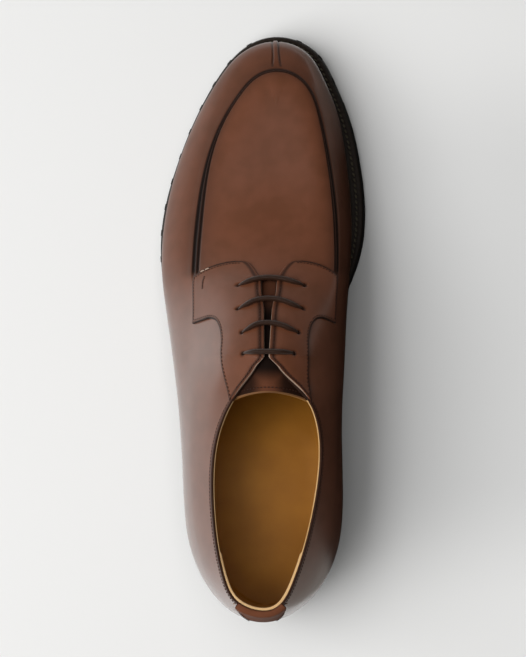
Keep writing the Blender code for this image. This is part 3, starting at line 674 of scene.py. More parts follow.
def tan_leather(name, light, deep, roughness):
    """Undyed leather: two tans in soft patches, with a low nap of fibres that keeps it matt."""
    material, tree, shader, place = new_material(name, Roughness=roughness, IOR=1.45)
    patch = add_node(tree, "ShaderNodeTexNoise", {"Vector": place, "Scale": 1 / TAN_PATCH, "Detail": 4.0})
    share = add_node(tree, "ShaderNodeMapRange",
                     {"Value": patch.outputs["Fac"], "From Min": 0.35, "From Max": 0.65})
    tan = add_node(tree, "ShaderNodeMix", {0: share.outputs[0], 6: colour(light), 7: colour(deep)},
                   data_type="RGBA")
    tree.links.new(tan.outputs[2], shader.inputs["Base Color"])
    fibre = add_node(tree, "ShaderNodeTexNoise", {"Vector": place, "Scale": 1 / FIBRE_SIZE, "Detail": 3.0})
    nap = add_node(tree, "ShaderNodeBump",
                   {"Height": fibre.outputs["Fac"], "Strength": 0.2, "Distance": 0.08 * MM})
    tree.links.new(nap.outputs["Normal"], shader.inputs["Normal"])
    return material


# The lining is golden and dull, the sock deeper in colour, and cut edges show as fine pale lines.
# On the facings' throat edge that pale line is also a painted highlight.
LINING = tan_leather("vegetable_tanned_lining", "#b98a4e", "#a87a40", 0.55)
SOCK = tan_leather("vegetable_tanned_sock", "#9a6721", "#89591a", 0.5)
CUT_EDGE = tan_leather("cut_lining_edge", "#d6b181", "#c69d68", 0.6)
CALF_EDGE_HIGHLIGHT = tan_leather("cut_calf_edge_painted_highlight", "#a99383", "#96806f", 0.55)
TONGUE_EDGE = tan_leather("cut_tongue_edge", "#7d583a", "#6e4c30", 0.6)
print("made", LINING.name, SOCK.name, CUT_EDGE.name, CALF_EDGE_HIGHLIGHT.name, TONGUE_EDGE.name)

# %% [markdown]
# The seams of the upper. The apron seam is a raised edge of the wall beside a rubbed groove, and the seam
# at the toe is a narrow ridge between two lines. Both could be cut with tools, but as heights over the
# smooth surface they follow it everywhere, and each can be widened or narrowed along its way.

# %% Form of the seams
Swell = namedtuple("Swell", "at height reach")
Fade = namedtuple("Fade", "strength low high")
SEAM_RUN = (172.0, 178.0)
APRON_SEAM = [
    Swell(-1.2, 0.08, 2.6),
    Swell(0.6, -0.6, 1.0),
    Swell(1.5, 0.25, 0.7),
    Swell(2.3, -0.4, 0.6),
]
CHANNEL = 2.6
CHANNEL_TOE = 1.6
CHANNEL_LATERAL = 4.6
CHANNEL_MEDIAL = 3.0
CHANNEL_NARROWS = (195, 268)
SPLIT_HALF = 1.5
SPLIT_WIDENS = Fade(0.35, 1.5, 2.0)
SPLIT_REACH = 0.5
SPLIT_HEIGHT = 0.5
SPLIT_EDGE = (1.0, 0.6)
SPLIT_LINES = Swell(1.05, 0.45, 0.6)
SPLIT_FOOT = (0.0, 0.35)
SPLIT_TOP = 1.93
SPLIT_END = (SPLIT_TOP, 1.75)
FAR_ASIDE = 9.0
print("apron seam is", -APRON_SEAM[1].height, "mm deep, toe ridge", 2 * SPLIT_HALF, "mm wide")

# %% [markdown]
# Height of the seams. Each place on the upper is asked how far it is from the seams, and the tables above
# turn that distance into a height. The same distances place the dark wax in the next step.


# %% Height of the seams
def fade_in(fade, value):
    """Rises smoothly from 0 at the fade's low to its strength at its high."""
    return fade.strength * ease(fade.low, fade.high, value)


def seam_offset(angle, level):
    """Distance from the apron seam along a column: below 0 on the wall, above 0 on the apron.

    On the apron it is stretched, so that the channel keeps its place in the table of swells: narrow round the
    toe and widest on the lateral side, where it runs under the facing.
    """
    to_top, to_bulge = panel_lengths(angle)
    widest = np.where(np.mod(angle, TURN) > math.pi, CHANNEL_LATERAL, CHANNEL_MEDIAL)
    width = widest + (CHANNEL_TOE - widest) * ease(*CHANNEL_NARROWS, SHOULDER_LINE.station(angle))
    return np.where(level > 2, (level - 2) * to_top * CHANNEL / width, (level - 2) * to_bulge)


def seam_share(angle):
    """1 along the apron seam, easing to 0 where it runs under the facings."""
    return ease(*SEAM_RUN, SHOULDER_LINE.station(angle))


def split_offset(angle, level):
    """Distance sideways from the toe's middle line, as a share of the split seam's half width."""
    aside = np.abs((upper_base(angle, level) - upper_base(math.pi, level))[..., 0])
    at_toe = np.abs(np.mod(angle, TURN) - math.pi) < SPLIT_REACH
    half = SPLIT_HALF * (1 + fade_in(SPLIT_WIDENS, level))
    return np.where(at_toe & (level < SPLIT_TOP), aside / half, FAR_ASIDE)


def split_lines(aside, reach):
    """1 in the two lines beside the toe's ridge, falling to 0 over a reach in millimetres."""
    return bump((aside - SPLIT_LINES.at) * SPLIT_HALF / reach)


def upper_relief(angle, level):
    """Height of the seams over the smooth surface: the apron's swells, the toe's ridge less its two lines."""
    off = seam_offset(angle, level)
    seam = sum(swell.height * bump((off - swell.at) / swell.reach) for swell in APRON_SEAM)
    aside = split_offset(angle, level)
    split = SPLIT_HEIGHT * ease(*SPLIT_EDGE, aside)
    split = split - SPLIT_LINES.height * split_lines(aside, SPLIT_LINES.reach)
    return seam * seam_share(angle) + split * ease(*SPLIT_FOOT, level) * ease(*SPLIT_END, level)


print("height at the middle of the toe's ridge:", upper_relief(math.pi, 1.0).round(2), "mm")

# %% [markdown]
# Dark wax, painted shade and polish on the upper. Dark wax is rubbed along the top edge and at the toe.
# In the apron seam, in the toe's two lines and along the welt the dark is dark wax together with painted
# shade of the grooves and of the corner at the welt, and a soft painted shadow lies beside the apron seam.
# The quarters are brushed to a higher gloss than the vamp. Brushing them by hand onto the mesh would do,
# but distances from the seams give the same soft edges and stay right when a seam is moved.

# %% Dark wax, painted shade and polish
# Apron seam: dark wax and painted shade of its groove, with a halo of soft painted shadow beside it.
SEAM_EDGE_WAX_AND_SHADE = Fade(0.4, -3.6, -0.8)
SEAM_CORE_WAX_AND_SHADE = Fade(0.6, -0.9, 0.1)
SEAM_DARK_END = (3.4, 2.2)
SEAM_RIDGE_BARE = Swell(1.5, 0.15, 0.6)
SEAM_TOE_BARE = Fade(0.05, 240, 275)
SEAM_HALO = Swell(0.5, 0.4, 6.0)
WALL_HALO_REACH = 8.0
# Toe lines and welt: dark wax and painted shade of their grooves and of the corner at the welt.
SPLIT_WAX_AND_SHADE = 0.75
SPLIT_DARK_REACH = 1.1
WELT_WAX_AND_SHADE = Fade(0.55, 0.35, 0.0)
TOE_WAX = Fade(0.18, 255, 285)
TOE_WAX_TOP = (2.0, 1.95)
COLLAR_WAX = Fade(0.85, 1.6, 0.3)
QUARTER_POLISH = (190, 145)
WAIST_POLISH_LOSS = Fade(0.8, 24, 44)
LATERAL_WALL_POLISH = 0.1
MEDIAL_WALL_POLISH = Fade(0.5, 0.5, -0.2)
APRON_POLISH = 0.3
APRON_EDGE = (1.9, 2.1)


def upper_wax_and_shade(angle, level):
    """Dark wax with painted shade: deep in the apron seam and the toe lines, soft along the welt.
    Dark wax alone, soft, along the top edge and at the toe.
    """
    off = seam_offset(angle, level)
    groove = (fade_in(SEAM_EDGE_WAX_AND_SHADE, off) + fade_in(SEAM_CORE_WAX_AND_SHADE, off)) * ease(*SEAM_DARK_END, off)
    bare = bump((off - SEAM_RIDGE_BARE.at) / SEAM_RIDGE_BARE.reach)
    groove = groove * (1 - SEAM_RIDGE_BARE.height * bare) * seam_share(angle)
    groove = groove * (1 - fade_in(SEAM_TOE_BARE, SHOULDER_LINE.station(angle)))
    # The halo is a soft painted shadow on both sides of the apron seam.
    reach = np.where(off > 0, SEAM_HALO.reach, WALL_HALO_REACH)
    halo = SEAM_HALO.height * np.exp(-((off - SEAM_HALO.at) / reach) ** 2) * seam_share(angle)
    lines = SPLIT_WAX_AND_SHADE * split_lines(split_offset(angle, level), SPLIT_DARK_REACH) * ease(*SPLIT_FOOT, level)
    toe = fade_in(TOE_WAX, BULGE_LINE.station(angle)) * ease(*TOE_WAX_TOP, level)
    collar = fade_in(COLLAR_WAX, (3 - level) * panel_lengths(angle)[0])
    collar = collar * ease(SLOT_CLOSED, SLOT_FRONT, topline_points(angle)[..., 1])
    return np.clip(np.maximum.reduce([groove, halo, lines, fade_in(WELT_WAX_AND_SHADE, level), toe, collar]), 0, 1)


def upper_polish(angle, level, wax_and_shade):
    """Clear wax coat: full on the quarters, less at the medial waist, thin on the apron, uneven on the wall.

    There is none where the dark wax and painted shade lie.
    """
    station = SHOULDER_LINE.station(angle)
    turn = np.mod(angle, TURN)
    waist = np.where(turn < math.pi, fade_in(WAIST_POLISH_LOSS, station), 0)
    wall = LATERAL_WALL_POLISH + fade_in(MEDIAL_WALL_POLISH, turn - math.pi)
    vamp = wall + (APRON_POLISH - wall) * ease(*APRON_EDGE, level)
    return (vamp + (1 - vamp) * ease(*QUARTER_POLISH, station) * (1 - waist)) * (1 - wax_and_shade)


# These values are of dark wax and painted shade.
side_wax_and_shade = upper_wax_and_shade(angle_at(205, False), np.array((0.0, 1.0, 2.0)))
print("burnish at the ball, on the welt, the wall and the seam:", side_wax_and_shade.round(2))

# %% [markdown]
# The upper's grid. A seam is only as sharp as the grid under it is fine, so its columns are close together
# at the slot and at the toe, and its rows at the apron seam. An even grid that is fine enough would be
# several times as large.

# %% Columns and rows of the upper
Run = namedtuple("Run", "start end columns")
COLUMN_RUNS = [
    Run(0.0, 60.0, 48),
    Run(60.0, COLLAR_BLEND, 30),
    Run(COLLAR_BLEND, SLOT_FRONT, 52),
    Run(SLOT_FRONT, SLOT_CLOSED, 1),
    Run(SLOT_CLOSED, 212.0, 32),
    Run(212.0, 296.6, 56),
]
TOE_FAN = 0.16
TOE_COLUMNS = 24
FOOT_ROWS = 22
SIDE_ROWS = 22
SEAM_ROWS = np.arange(-4.0, 5.2, 0.3)[:, None]
TOP_ROWS = 44


def wall_angles():
    """Columns round the whole upper, close together at the slot and at the toe seam."""
    runs = [np.linspace(angle_at(run.start, True), angle_at(run.end, True), run.columns, endpoint=False)
            for run in COLUMN_RUNS]
    fan = math.pi - np.linspace(TOE_FAN, 0, TOE_COLUMNS)
    half = np.concatenate((*runs, fan))
    return np.concatenate((half, (TURN - half[1:-1])[::-1]))


def wall_levels(angle):
    """Levels of the outer rows for each column, close together at the apron seam."""
    to_top, to_bulge = panel_lengths(angle)
    seam = 2 + np.where(SEAM_ROWS > 0, SEAM_ROWS / to_top, SEAM_ROWS / to_bulge)
    foot = np.broadcast_to(np.linspace(0, 1, FOOT_ROWS, endpoint=False)[:, None], (FOOT_ROWS, len(angle)))
    side = 1 + (seam[:1] - 1) * np.linspace(0, 1, SIDE_ROWS, endpoint=False)[:, None]
    top = seam[-1:] + (3 - seam[-1:]) * np.linspace(0, 1, TOP_ROWS)[1:, None]
    return np.concatenate((foot, side, seam, top))


print("the upper has", len(wall_angles()), "columns and", len(wall_levels(wall_angles())), "rows outside")

# %% [markdown]
# The upper. On the real shoe the vamp wall, the apron and the quarters are cut from calf, sewn, and pulled
# over the last with a lining inside. Here it is one closed wall: the outer surface, a rounded top edge, the
# lining and the foot of the wall. Solidify could give the thickness, but the rim needs its own form: calf,
# a groove and the pale cut edge of the lining, which is thicker at the heel.

# %% Upper wall
Rim = namedtuple("Rim", "inward up")
LINING_ROWS = 34
LINING_CROWD = 0.9
RIM = [
    Rim(0.10, 0.22),
    Rim(0.40, 0.42),
    Rim(0.80, 0.40),
    Rim(1.20, 0.14),
    Rim(1.36, -0.18),
    Rim(1.44, 0.04),
    Rim(1.60, 0.16),
    Rim(1.80, 0.12),
    Rim(1.95, -0.10),
]
RIM_GROOVE = 4
RIM_DROP = 0.5
HEEL_GRIP = 0.8
HEEL_GRIP_EDGE = (38.0, 37.2)
GRIP_RIM = 1.6


def upper_wall():
    """Rows of the closed wall: up the outside, over the rim and down the lining.

    The lining is the outer surface moved inwards by the wall's thickness, and by the grip's at the heel.
    Where the vamp is closed, both sides meet on the ridge, so their points there are the mean of the two.
    """
    angle = wall_angles()
    mirror = -np.arange(len(angle)) % len(angle)
    open_edge = topline_points(angle)[:, 1] < SLOT_CLOSED - 1e-6
    level = wall_levels(angle)
    turn = np.broadcast_to(angle, level.shape)
    outer = offset_surface(turn, level, upper_relief(turn, level))
    inner_top = 3 - np.where(open_edge, RIM_DROP / panel_lengths(angle)[0], 0)
    inner_level = inner_top * np.linspace(1, 0, LINING_ROWS)[:, None] ** LINING_CROWD
    inner_turn = np.broadcast_to(angle, inner_level.shape)
    grip = HEEL_GRIP * ease(*HEEL_GRIP_EDGE, upper_base(inner_turn, inner_level)[..., 1])
    inner = offset_surface(inner_turn, inner_level, -WALL - grip)
    for row in (outer[-1], inner[0]):
        row[~open_edge] = (row[~open_edge] + row[mirror][~open_edge]) / 2
    inward = np.array(column_of(RIM, "inward"))[:, None, None]
    up = np.array(column_of(RIM, "up"))[:, None, None]
    thicker = GRIP_RIM * grip[0][:, None] * np.clip(inward - RIM[RIM_GROOVE].inward, 0, None)
    rim_out = outward(angle, np.full(len(angle), NORMAL_TOP))
    rim = outer[-1] - (inward + thicker) * rim_out + up * upward(angle)
    closed_rim = outer[-1] + (inner[0] - outer[-1]) * inward / WALL
    rim = np.where(open_edge[None, :, None], rim, closed_rim)
    return angle, level, outer, rim, inner, open_edge


angle, level, outer, rim, inner, open_edge = upper_wall()
print("rows outside, on the rim and inside:", len(outer), len(rim), len(inner))

# %% [markdown]
# The wall becomes a piece. The rim is left out where the vamp is closed. Each row of faces takes the
# leather that is cut there: calf outside and up to the groove, the lining's cut edge past it, lining
# inside. Along the throat the whole rim is dyed calf.

# %% Upper piece
CALF_RIM_START = 113.0
RIM_WAX = 0.8
# Painted shade fills the groove between the calf and the lining's cut edge.
GROOVE_SHADE = 1.0
THROAT_WAX = 0.9

points = np.concatenate((outer, rim, inner))
rows, columns = points.shape[:2]
rim_start = len(outer)
groove_row = rim_start + RIM_GROOVE
lining_start = rim_start + len(rim)
quads = grid_quads(rows, columns, wrap_rows=True, wrap_columns=True)
quad_row, quad_column = np.divmod(np.arange(len(quads)), columns)
in_rim = (quad_row >= rim_start - 1) & (quad_row < lining_start)
beside_closed = ~open_edge[quad_column] & ~open_edge[(quad_column + 1) % columns]
kept = ~(in_rim & beside_closed)
wax_and_shade = np.zeros((rows, columns))
polish = np.zeros((rows, columns))
wax_and_shade[:rim_start] = upper_wax_and_shade(np.broadcast_to(angle, level.shape), level)
polish[:rim_start] = upper_polish(angle, level, wax_and_shade[:rim_start])
wax_and_shade[rim_start:groove_row] = RIM_WAX
# The groove row carries painted shade.
wax_and_shade[groove_row] = GROOVE_SHADE
at_throat = topline_points(angle)[:, 1] > CALF_RIM_START
wax_and_shade[rim_start:lining_start, at_throat] = THROAT_WAX
rim_layer = np.where(at_throat[quad_column], 0, 2)
layer = np.where(quad_row < groove_row, 0, np.where(quad_row < lining_start, rim_layer, 1))
add_piece("upper_leather", points, [quads[kept]], [CALF, LINING, CUT_EDGE], ["upper"],
          values={"wax_and_shade": wax_and_shade, "polish": polish}, face_materials=layer[kept])

# %% [markdown]
# The lace facings. Each is a second layer of calf sewn over the quarter, with thin skived edges. It is cut
# from the upper's own surface: a table gives cuts from the throat outwards, and a spline joins them. A flat
# pattern could be wrapped on instead, but cuts on the surface lie on it without a gap.

# %% Cut of the lace facings
Cut = namedtuple("Cut", "inner_station inner_level outer_station outer_level")
FACING = [
    Cut(181.8, 2.66, 181.8, 2.60),
    Cut(181.0, 2.74, 181.3, 2.48),
    Cut(179.0, 2.80, 180.0, 2.34),
    Cut(176.2, 2.85, 177.8, 2.19),
    Cut(173.6, 2.885, 174.8, 2.04),
    Cut(SLOT_FRONT, 2.99, 170.5, 2.03),
    Cut(166.0, 3.0, 162.0, 2.04),
    Cut(161.0, 3.0, 150.4, 2.05),
    Cut(159.0, 3.0, 152.9, 2.32),
    Cut(155.0, 3.0, 152.2, 2.42),
    Cut(150.0, 3.0, 148.4, 2.50),
    Cut(142.0, 3.0, 141.0, 2.54),
    Cut(SLOT_TOP, 3.0, 133.0, 2.55),
    Cut(126.0, 3.0, 124.0, 2.66),
    Cut(119.0, 3.0, 117.0, 2.83),
    Cut(113.0, 3.0, 112.0, 2.96),
]
FACING_BENDS = (0, 4, 7, 8, 15)
FACING_STEPS = 26
FACING_ACROSS = 56
OVERHANG = 1.5
OVERHANG_FRONT = (168, 156)
OVERHANG_BACK = (129, 134)


def facing_cuts(name):
    """One column of the table as a smooth run of values, with corners only at the bends."""
    values = column_of(FACING, name)
    runs = []
    for first, last in zip(FACING_BENDS, FACING_BENDS[1:]):
        at = np.linspace(first, last, FACING_STEPS * (last - first) // 2 + 1)
        runs.append(spline(np.arange(first, last + 1), values[first:last + 1], at)[:-1])
    return np.append(np.concatenate(runs), values[-1])[:, None]


def slot_overhang(station):
    """How far a facing reaches over the slot: not at its front end or round the collar."""
    return OVERHANG * ease(*OVERHANG_FRONT, station) * ease(*OVERHANG_BACK, station)


print("a facing is cut", len(facing_cuts("inner_station")), "times across")

# %% [markdown]
# The surface under a facing. The facing is stiffer than the upper, so it bridges the small step where the
# slot closes under it. The surface is evened out there along its own normals; a smoothing brush would
# shrink its edges.

# %% Surface of a facing
OVERHANG_BLEND = 5.0
EVEN_REACH = 5.0
EVEN_SPAN = 16.0
EVEN_LEAST = 0.01


def soft_mean(values, step):
    """Mean of each value and its neighbours down the columns, weighted by a bell of their distance."""
    run = np.cumsum(step, axis=0)
    weight = np.exp(-0.5 * ((run[:, None] - run[None]) / EVEN_REACH) ** 2) * (step + EVEN_LEAST)[None]
    return np.einsum("ikj,kjc->ijc", weight / weight.sum(axis=1, keepdims=True), values)


def even_out(points, normals, share):
    """Moves points along softened normals, towards a soft mean that keeps the round of the surface."""
    step = np.linalg.norm(np.diff(points, axis=0, prepend=points[:1]), axis=-1)
    normals = unit(normals + share[..., None] * (soft_mean(normals, step) - normals))
    once = soft_mean(points, step)
    move = 2 * once - soft_mean(once, step) - points
    return points + share[..., None] * (move * normals).sum(axis=-1, keepdims=True) * normals, normals


def facing_surface(medial):
    """Base points, normals and outline of one facing: straight cuts across the upper's surface.

    Its inner edge hangs over the slot, and it is evened out where the slot closes under it.
    """
    across = (1 - np.cos(np.linspace(0, math.pi, FACING_ACROSS))) / 2
    inner_station = facing_cuts("inner_station")
    inner_level = facing_cuts("inner_level")
    station = inner_station + (facing_cuts("outer_station") - inner_station) * across
    level = np.clip(inner_level + (facing_cuts("outer_level") - inner_level) * across, 0, 3)
    angle = angle_at(station, medial)
    near_slot_end = bump((station - SLOT_CLOSED) / EVEN_SPAN)
    base, normal = even_out(upper_base(angle, level), outward(angle, level), near_slot_end)
    inwards = unit(base[:, :1] - base[:, 2:3])
    from_slot = length_of(base - base[:, :1])
    base = base + inwards * slot_overhang(inner_station)[..., None] * ease(OVERHANG_BLEND, 0, from_slot)
    outline = np.concatenate((base[0], base[1:, -1], base[-1, -2::-1], base[-2:0:-1, 0]))
    return base, normal, outline


print("points of a facing along and across:", facing_surface(False)[0].shape[:2])

# %% [markdown]
# Thickness and holes of the facings. The layer rises from nothing at its skived edge to its full thickness,
# and it is thin where its tip runs out along the collar. The distance to an edge or a hole is measured from
# the points themselves, so any outline will do.

# %% Thickness and holes of the facings
Row = namedtuple("Row", "station centre_station lateral_level medial_level")
LACE_ROWS = [
    Row(169.2, 171.6, 2.72, 2.60),
    Row(157.4, 160.9, 2.74, 2.62),
    Row(145.6, 148.9, 2.80, 2.68),
    Row(135.3, 135.3, 2.82, 2.74),
]
FACING_HEIGHT = 1.1
FACING_TIP = (112.0, 122.0)
FACING_TIP_SHARE = 0.3
FACING_SUNK = 0.2
SKIVE = 0.5


def nearest(points, others):
    """Distance from each point to the nearest of the others."""
    flat = points.reshape(-1, 3)
    best = np.full(len(flat), 1e9)
    for part in np.array_split(others, max(1, len(others) // 64)):
        best = np.minimum(best, np.linalg.norm(flat[:, None] - part[None], axis=-1).min(axis=1))
    return best.reshape(points.shape[:-1])


def rounded(from_edge):
    """Quarter round of a skived edge: 0 at the edge, 1 from the skive's width on."""
    return np.sqrt(np.clip(1 - (1 - np.clip(from_edge / SKIVE, 0, 1)) ** 2, 0, 1))


def facing_height(station):
    """Thickness of a facing: full, and skived thin where its tip runs out along the collar."""
    return FACING_HEIGHT * (FACING_TIP_SHARE + (1 - FACING_TIP_SHARE) * ease(*FACING_TIP, station))


def eyelet_points(medial):
    """Middle of each lace hole on the smooth surface, and the direction out of it."""
    angle = angle_at(column_of(LACE_ROWS, "station"), medial)
    level = np.array(column_of(LACE_ROWS, "medial_level" if medial else "lateral_level"))
    return upper_base(angle, level), outward(angle, level)


print("lace holes on the lateral side:", eyelet_points(False)[0].round(1).tolist())

# %% [markdown]
# The facings as pieces. Dark wax and painted shade lie along their sewn edge and along the row of stitches
# at the slot, and painted shade lies round the holes. Their throat edge is cut, not folded, and shows the
# pale middle of the skin as a fine line, which is also a painted highlight along that edge.

# %% Lace facings
HOLE_EDGE = (0.5, 1.4)
HOLE_FLOOR = 0.08
EDGE_WAX_AND_SHADE = Fade(0.95, 1.4, 0.4)
HOLE_SHADE = Fade(1.0, 1.7, 0.7)
SLOT_WAX_AND_SHADE = Swell(2.1, 0.75, 1.9)
PALE_LINE = 0.7
PALE_LINE_NARROW = 0.4
PALE_LINE_WIDENS = (137, 131)
PALE_LINE_END = (111, 130)
PALE_LINE_FRONT = SLOT_FRONT - 2
FACING_POLISH = 0.5
EDGE_POLISH = (0.3, 1.2)
HOLE_POLISH = (1.2, 2.8)


def add_facing(name, medial):
    """One facing as a closed sheet: thickness over the base, rounded at the edge and sunk at the holes."""
    base, normal, outline = facing_surface(medial)
    inner_station = facing_cuts("inner_station")
    from_edge = nearest(base, outline)
    from_hole = nearest(base, eyelet_points(medial)[0])
    from_inner = length_of(base - base[:, :1])[..., 0]
    from_outer = nearest(base, np.concatenate((base[0], base[1:, -1])))
    height = (facing_height(inner_station) + FACING_SUNK) * rounded(from_edge)
    height = height * (HOLE_FLOOR + (1 - HOLE_FLOOR) * ease(*HOLE_EDGE, from_hole)) - FACING_SUNK
    points, faces = closed_sheet(base + height[..., None] * normal, base - FACING_SUNK * normal)
    # Dark wax with painted shade at the sewn edge and along the slot; painted shade round the holes.
    slot_wax = SLOT_WAX_AND_SHADE.height * bump((from_inner - SLOT_WAX_AND_SHADE.at) / SLOT_WAX_AND_SHADE.reach)
    wax_and_shade = np.maximum.reduce([fade_in(EDGE_WAX_AND_SHADE, from_outer), fade_in(HOLE_SHADE, from_hole), slot_wax])
    polish = FACING_POLISH * ease(*EDGE_POLISH, from_edge) * ease(*HOLE_POLISH, from_hole) * (1 - wax_and_shade)
    # The pale line is the cut edge and a painted highlight along it: wide in the throat, narrow at the slot.
    width = PALE_LINE_NARROW + (1 - PALE_LINE_NARROW) * ease(*PALE_LINE_WIDENS, inner_station)
    width = PALE_LINE * width * ease(*PALE_LINE_END, inner_station)
    pale = on_top((from_inner < width) & (inner_station < PALE_LINE_FRONT))
    add_piece(name + "_leather", points, [faces[:, ::-1] if medial else faces], [CALF, CALF_EDGE_HIGHLIGHT],
              [name], values={"wax_and_shade": on_top(wax_and_shade), "polish": on_top(polish)},
              face_materials=pale[faces].all(axis=1))


add_facing("facing_lateral", False)
add_facing("facing_medial", True)

# %% [markdown]
# The strap over the back seam: a small shield of calf that widens to the collar and is folded over its top
# edge. It is one more layer over the upper's surface, so it is made as the facings are, from a table of
# half widths.

# %% Heel strap
Strap = namedtuple("Strap", "level half_width")
Fold = namedtuple("Fold", "inward up under_inward under_up")
HEEL_STRAP = [
    Strap(2.99, 12.4),
    Strap(2.75, 11.8),
    Strap(2.5, 10.4),
    Strap(2.3, 8.4),
    Strap(2.14, 6.4),
]
STRAP_FOLD = [
    Fold(0.95, 0.25, 0.95, 0.10),
    Fold(0.95, 0.60, 0.90, 0.10),
    Fold(0.70, 1.05, 0.60, 0.20),
    Fold(0.20, 1.25, 0.20, 0.20),
    Fold(-0.45, 1.15, 0.10, 0.10),
    Fold(-1.15, 0.80, 0.05, 0.05),
    Fold(-1.75, 0.25, 0.02, 0.02),
]
STRAP_ROWS = 44
STRAP_COLUMNS = 64
STRAP_ROLL = 1.05
STRAP_ROLL_REACH = 11.0
# The strap is darker towards its edges.
STRAP_EDGE_DARKENING = Fade(0.9, 0.9, 0.2)


def strap_surface():
    """Angles and levels of the strap: its half width at each level, spread over the back of the heel."""
    down = np.array(column_of(HEEL_STRAP, "level"))
    level = np.linspace(down[0], down[-1], STRAP_ROWS)[:, None]
    half_width = spline(down[::-1], column_of(HEEL_STRAP, "half_width")[::-1], level)
    nudge = 0.02
    per_turn = length_of(upper_base(nudge, level) - upper_base(-nudge, level))[..., 0] / (2 * nudge)
    angle = np.linspace(-1, 1, STRAP_COLUMNS) * half_width / per_turn
    return angle, np.broadcast_to(level, angle.shape)


def strap_layers():
    """Under and upper surface of the strap: over the top edge of the collar, then down the outside."""
    angle, level = strap_surface()
    edge = upper_base(angle[0], 3.0)
    out = outward(angle[0], level[0])
    rise = upward(angle[0])
    folds = [np.array(column_of(STRAP_FOLD, name))[:, None, None] for name in Fold._fields]
    from_top = (3 - level) * panel_lengths(0.0)[0]
    height = FACING_HEIGHT + STRAP_ROLL * bump(from_top / STRAP_ROLL_REACH)
    over = (edge - folds[0] * out + folds[1] * rise, offset_surface(angle, level, height))
    under = (edge - folds[2] * out + folds[3] * rise,
             offset_surface(angle, level, np.full(angle.shape, -FACING_SUNK)))
    return np.concatenate(under), np.concatenate(over)


under, over = strap_layers()
from_edge = nearest(over, np.concatenate((over[0], over[:, 0], over[-1], over[:, -1])))
points, faces = closed_sheet(under + (over - under) * rounded(from_edge)[..., None], under)
add_piece("heel_strap_leather", points, [faces[:, ::-1]], [MATT_CALF], ["heel_patch"],
          values={"wax_and_shade": on_top(fade_in(STRAP_EDGE_DARKENING, from_edge))})

# %% [markdown]
# The tongue lies under the lacing and ends in a cut edge that shows the middle of the leather. It is a
# closed sheet: arches across the foot from a table, with the calf above and the lining below. A plane with
# Solidify could be bent over the foot, but only the free end of the tongue is rounded off, so both faces
# are worked out.

# %% Tongue
Arch = namedtuple("Arch", "station x z half_width drop")
TONGUE = [
    Arch(116.4, 7.0, 96.4, 24.5, 19.0),
    Arch(125, 6.8, 96.2, 24.0, 19.2),
    Arch(SLOT_TOP, 6.8, 95.2, 23.0, 16.8),
    Arch(145, 6.8, 89.2, 22.0, 13.2),
    Arch(158, 6.7, 79.6, 21.0, 10.2),
    Arch(172, 6.7, 68.2, 20.0, 7.6),
    Arch(186, 7.4, 58.4, 20.0, 5.6),
]
TONGUE_THICKNESS = 2.2
TONGUE_TRAIL = 7.0
TONGUE_BEND = 1.8
TONGUE_ROWS = 90
TONGUE_COLUMNS = 60
TONGUE_RIM = Fade(0.5, 1.2, 0.0)
SLOT_SHADE = (118, 129)
SLOT_SHADE_FADE = Fade(0.5, 154, 166)
TONGUE_DARKENING = 0.3
TONGUE_SIDE_SHADE = Fade(0.6, 0.08, 0.36)


def tongue_point(station, across):
    """Arch across the foot: its height falls with a power of the share of the half width."""
    stations = column_of(TONGUE, "station")
    x, z, half_width, drop = [spline(stations, column_of(TONGUE, name), station) for name in Arch._fields[1:]]
    trailing = TONGUE_TRAIL * across ** 2 * ease(SLOT_TOP, stations[0], station)
    return np.stack((x + half_width * across, station - trailing, z - drop * np.abs(across) ** TONGUE_BEND),
                    axis=-1)


def sheet_normals(points):
    """Unit normals of a grid, from its neighbours along both ways."""
    return unit(np.cross(np.gradient(points, axis=1), np.gradient(points, axis=0)))


station = np.linspace(TONGUE[0].station, TONGUE[-1].station, TONGUE_ROWS)[:, None]
across = np.linspace(-1, 1, TONGUE_COLUMNS)
top = tongue_point(station, across)
normal = sheet_normals(top)
from_end = top[..., 1] - top[:1, :, 1]
points, faces = closed_sheet(top - fade_in(TONGUE_RIM, from_end)[..., None] * normal,
                             top - TONGUE_THICKNESS * normal)
top_faces = (TONGUE_ROWS - 1) * (TONGUE_COLUMNS - 1)
face_materials = np.ones(len(faces))
face_materials[:top_faces] = 0
face_materials[:TONGUE_COLUMNS - 1] = 2
# Painted shade on the tongue: dark in the slot under the lacing, half as dark at the slot's front, and darker
# towards both sides under the facings' edges; the whole tongue is a little darker too.
under_lacing_shade = ease(*SLOT_SHADE, station) * (1 - fade_in(SLOT_SHADE_FADE, station))
wax_and_shade = np.maximum(under_lacing_shade, TONGUE_DARKENING + fade_in(TONGUE_SIDE_SHADE, np.abs(across)))
add_piece("tongue_leather", points, [faces], [MATT_CALF, LINING, TONGUE_EDGE], ["tongue"],
          values={"wax_and_shade": on_top(wax_and_shade)}, face_materials=face_materials)

# %% [markdown]
# The insole with its sock. The foot presses it into a shallow dish, and its edge turns up against the
# lining. It is a grid from the lateral edge to the medial edge, closed underneath; a flat cut-out would
# show no dish.

# %% Insole and sock
INSOLE_ROWS = 200
INSOLE_COLUMNS = 48
INSOLE_RISE = 2.2
INSOLE_CLEARANCE = 0.1
INSOLE_DISH = 1.0
DISH_EDGE = (0, 12)
DISH_HEEL = (0, 0.5)
DISH_TOE = (math.pi, 2.6)
INSOLE_TURN_UP = Fade(0.8, 3.0, 0.0)

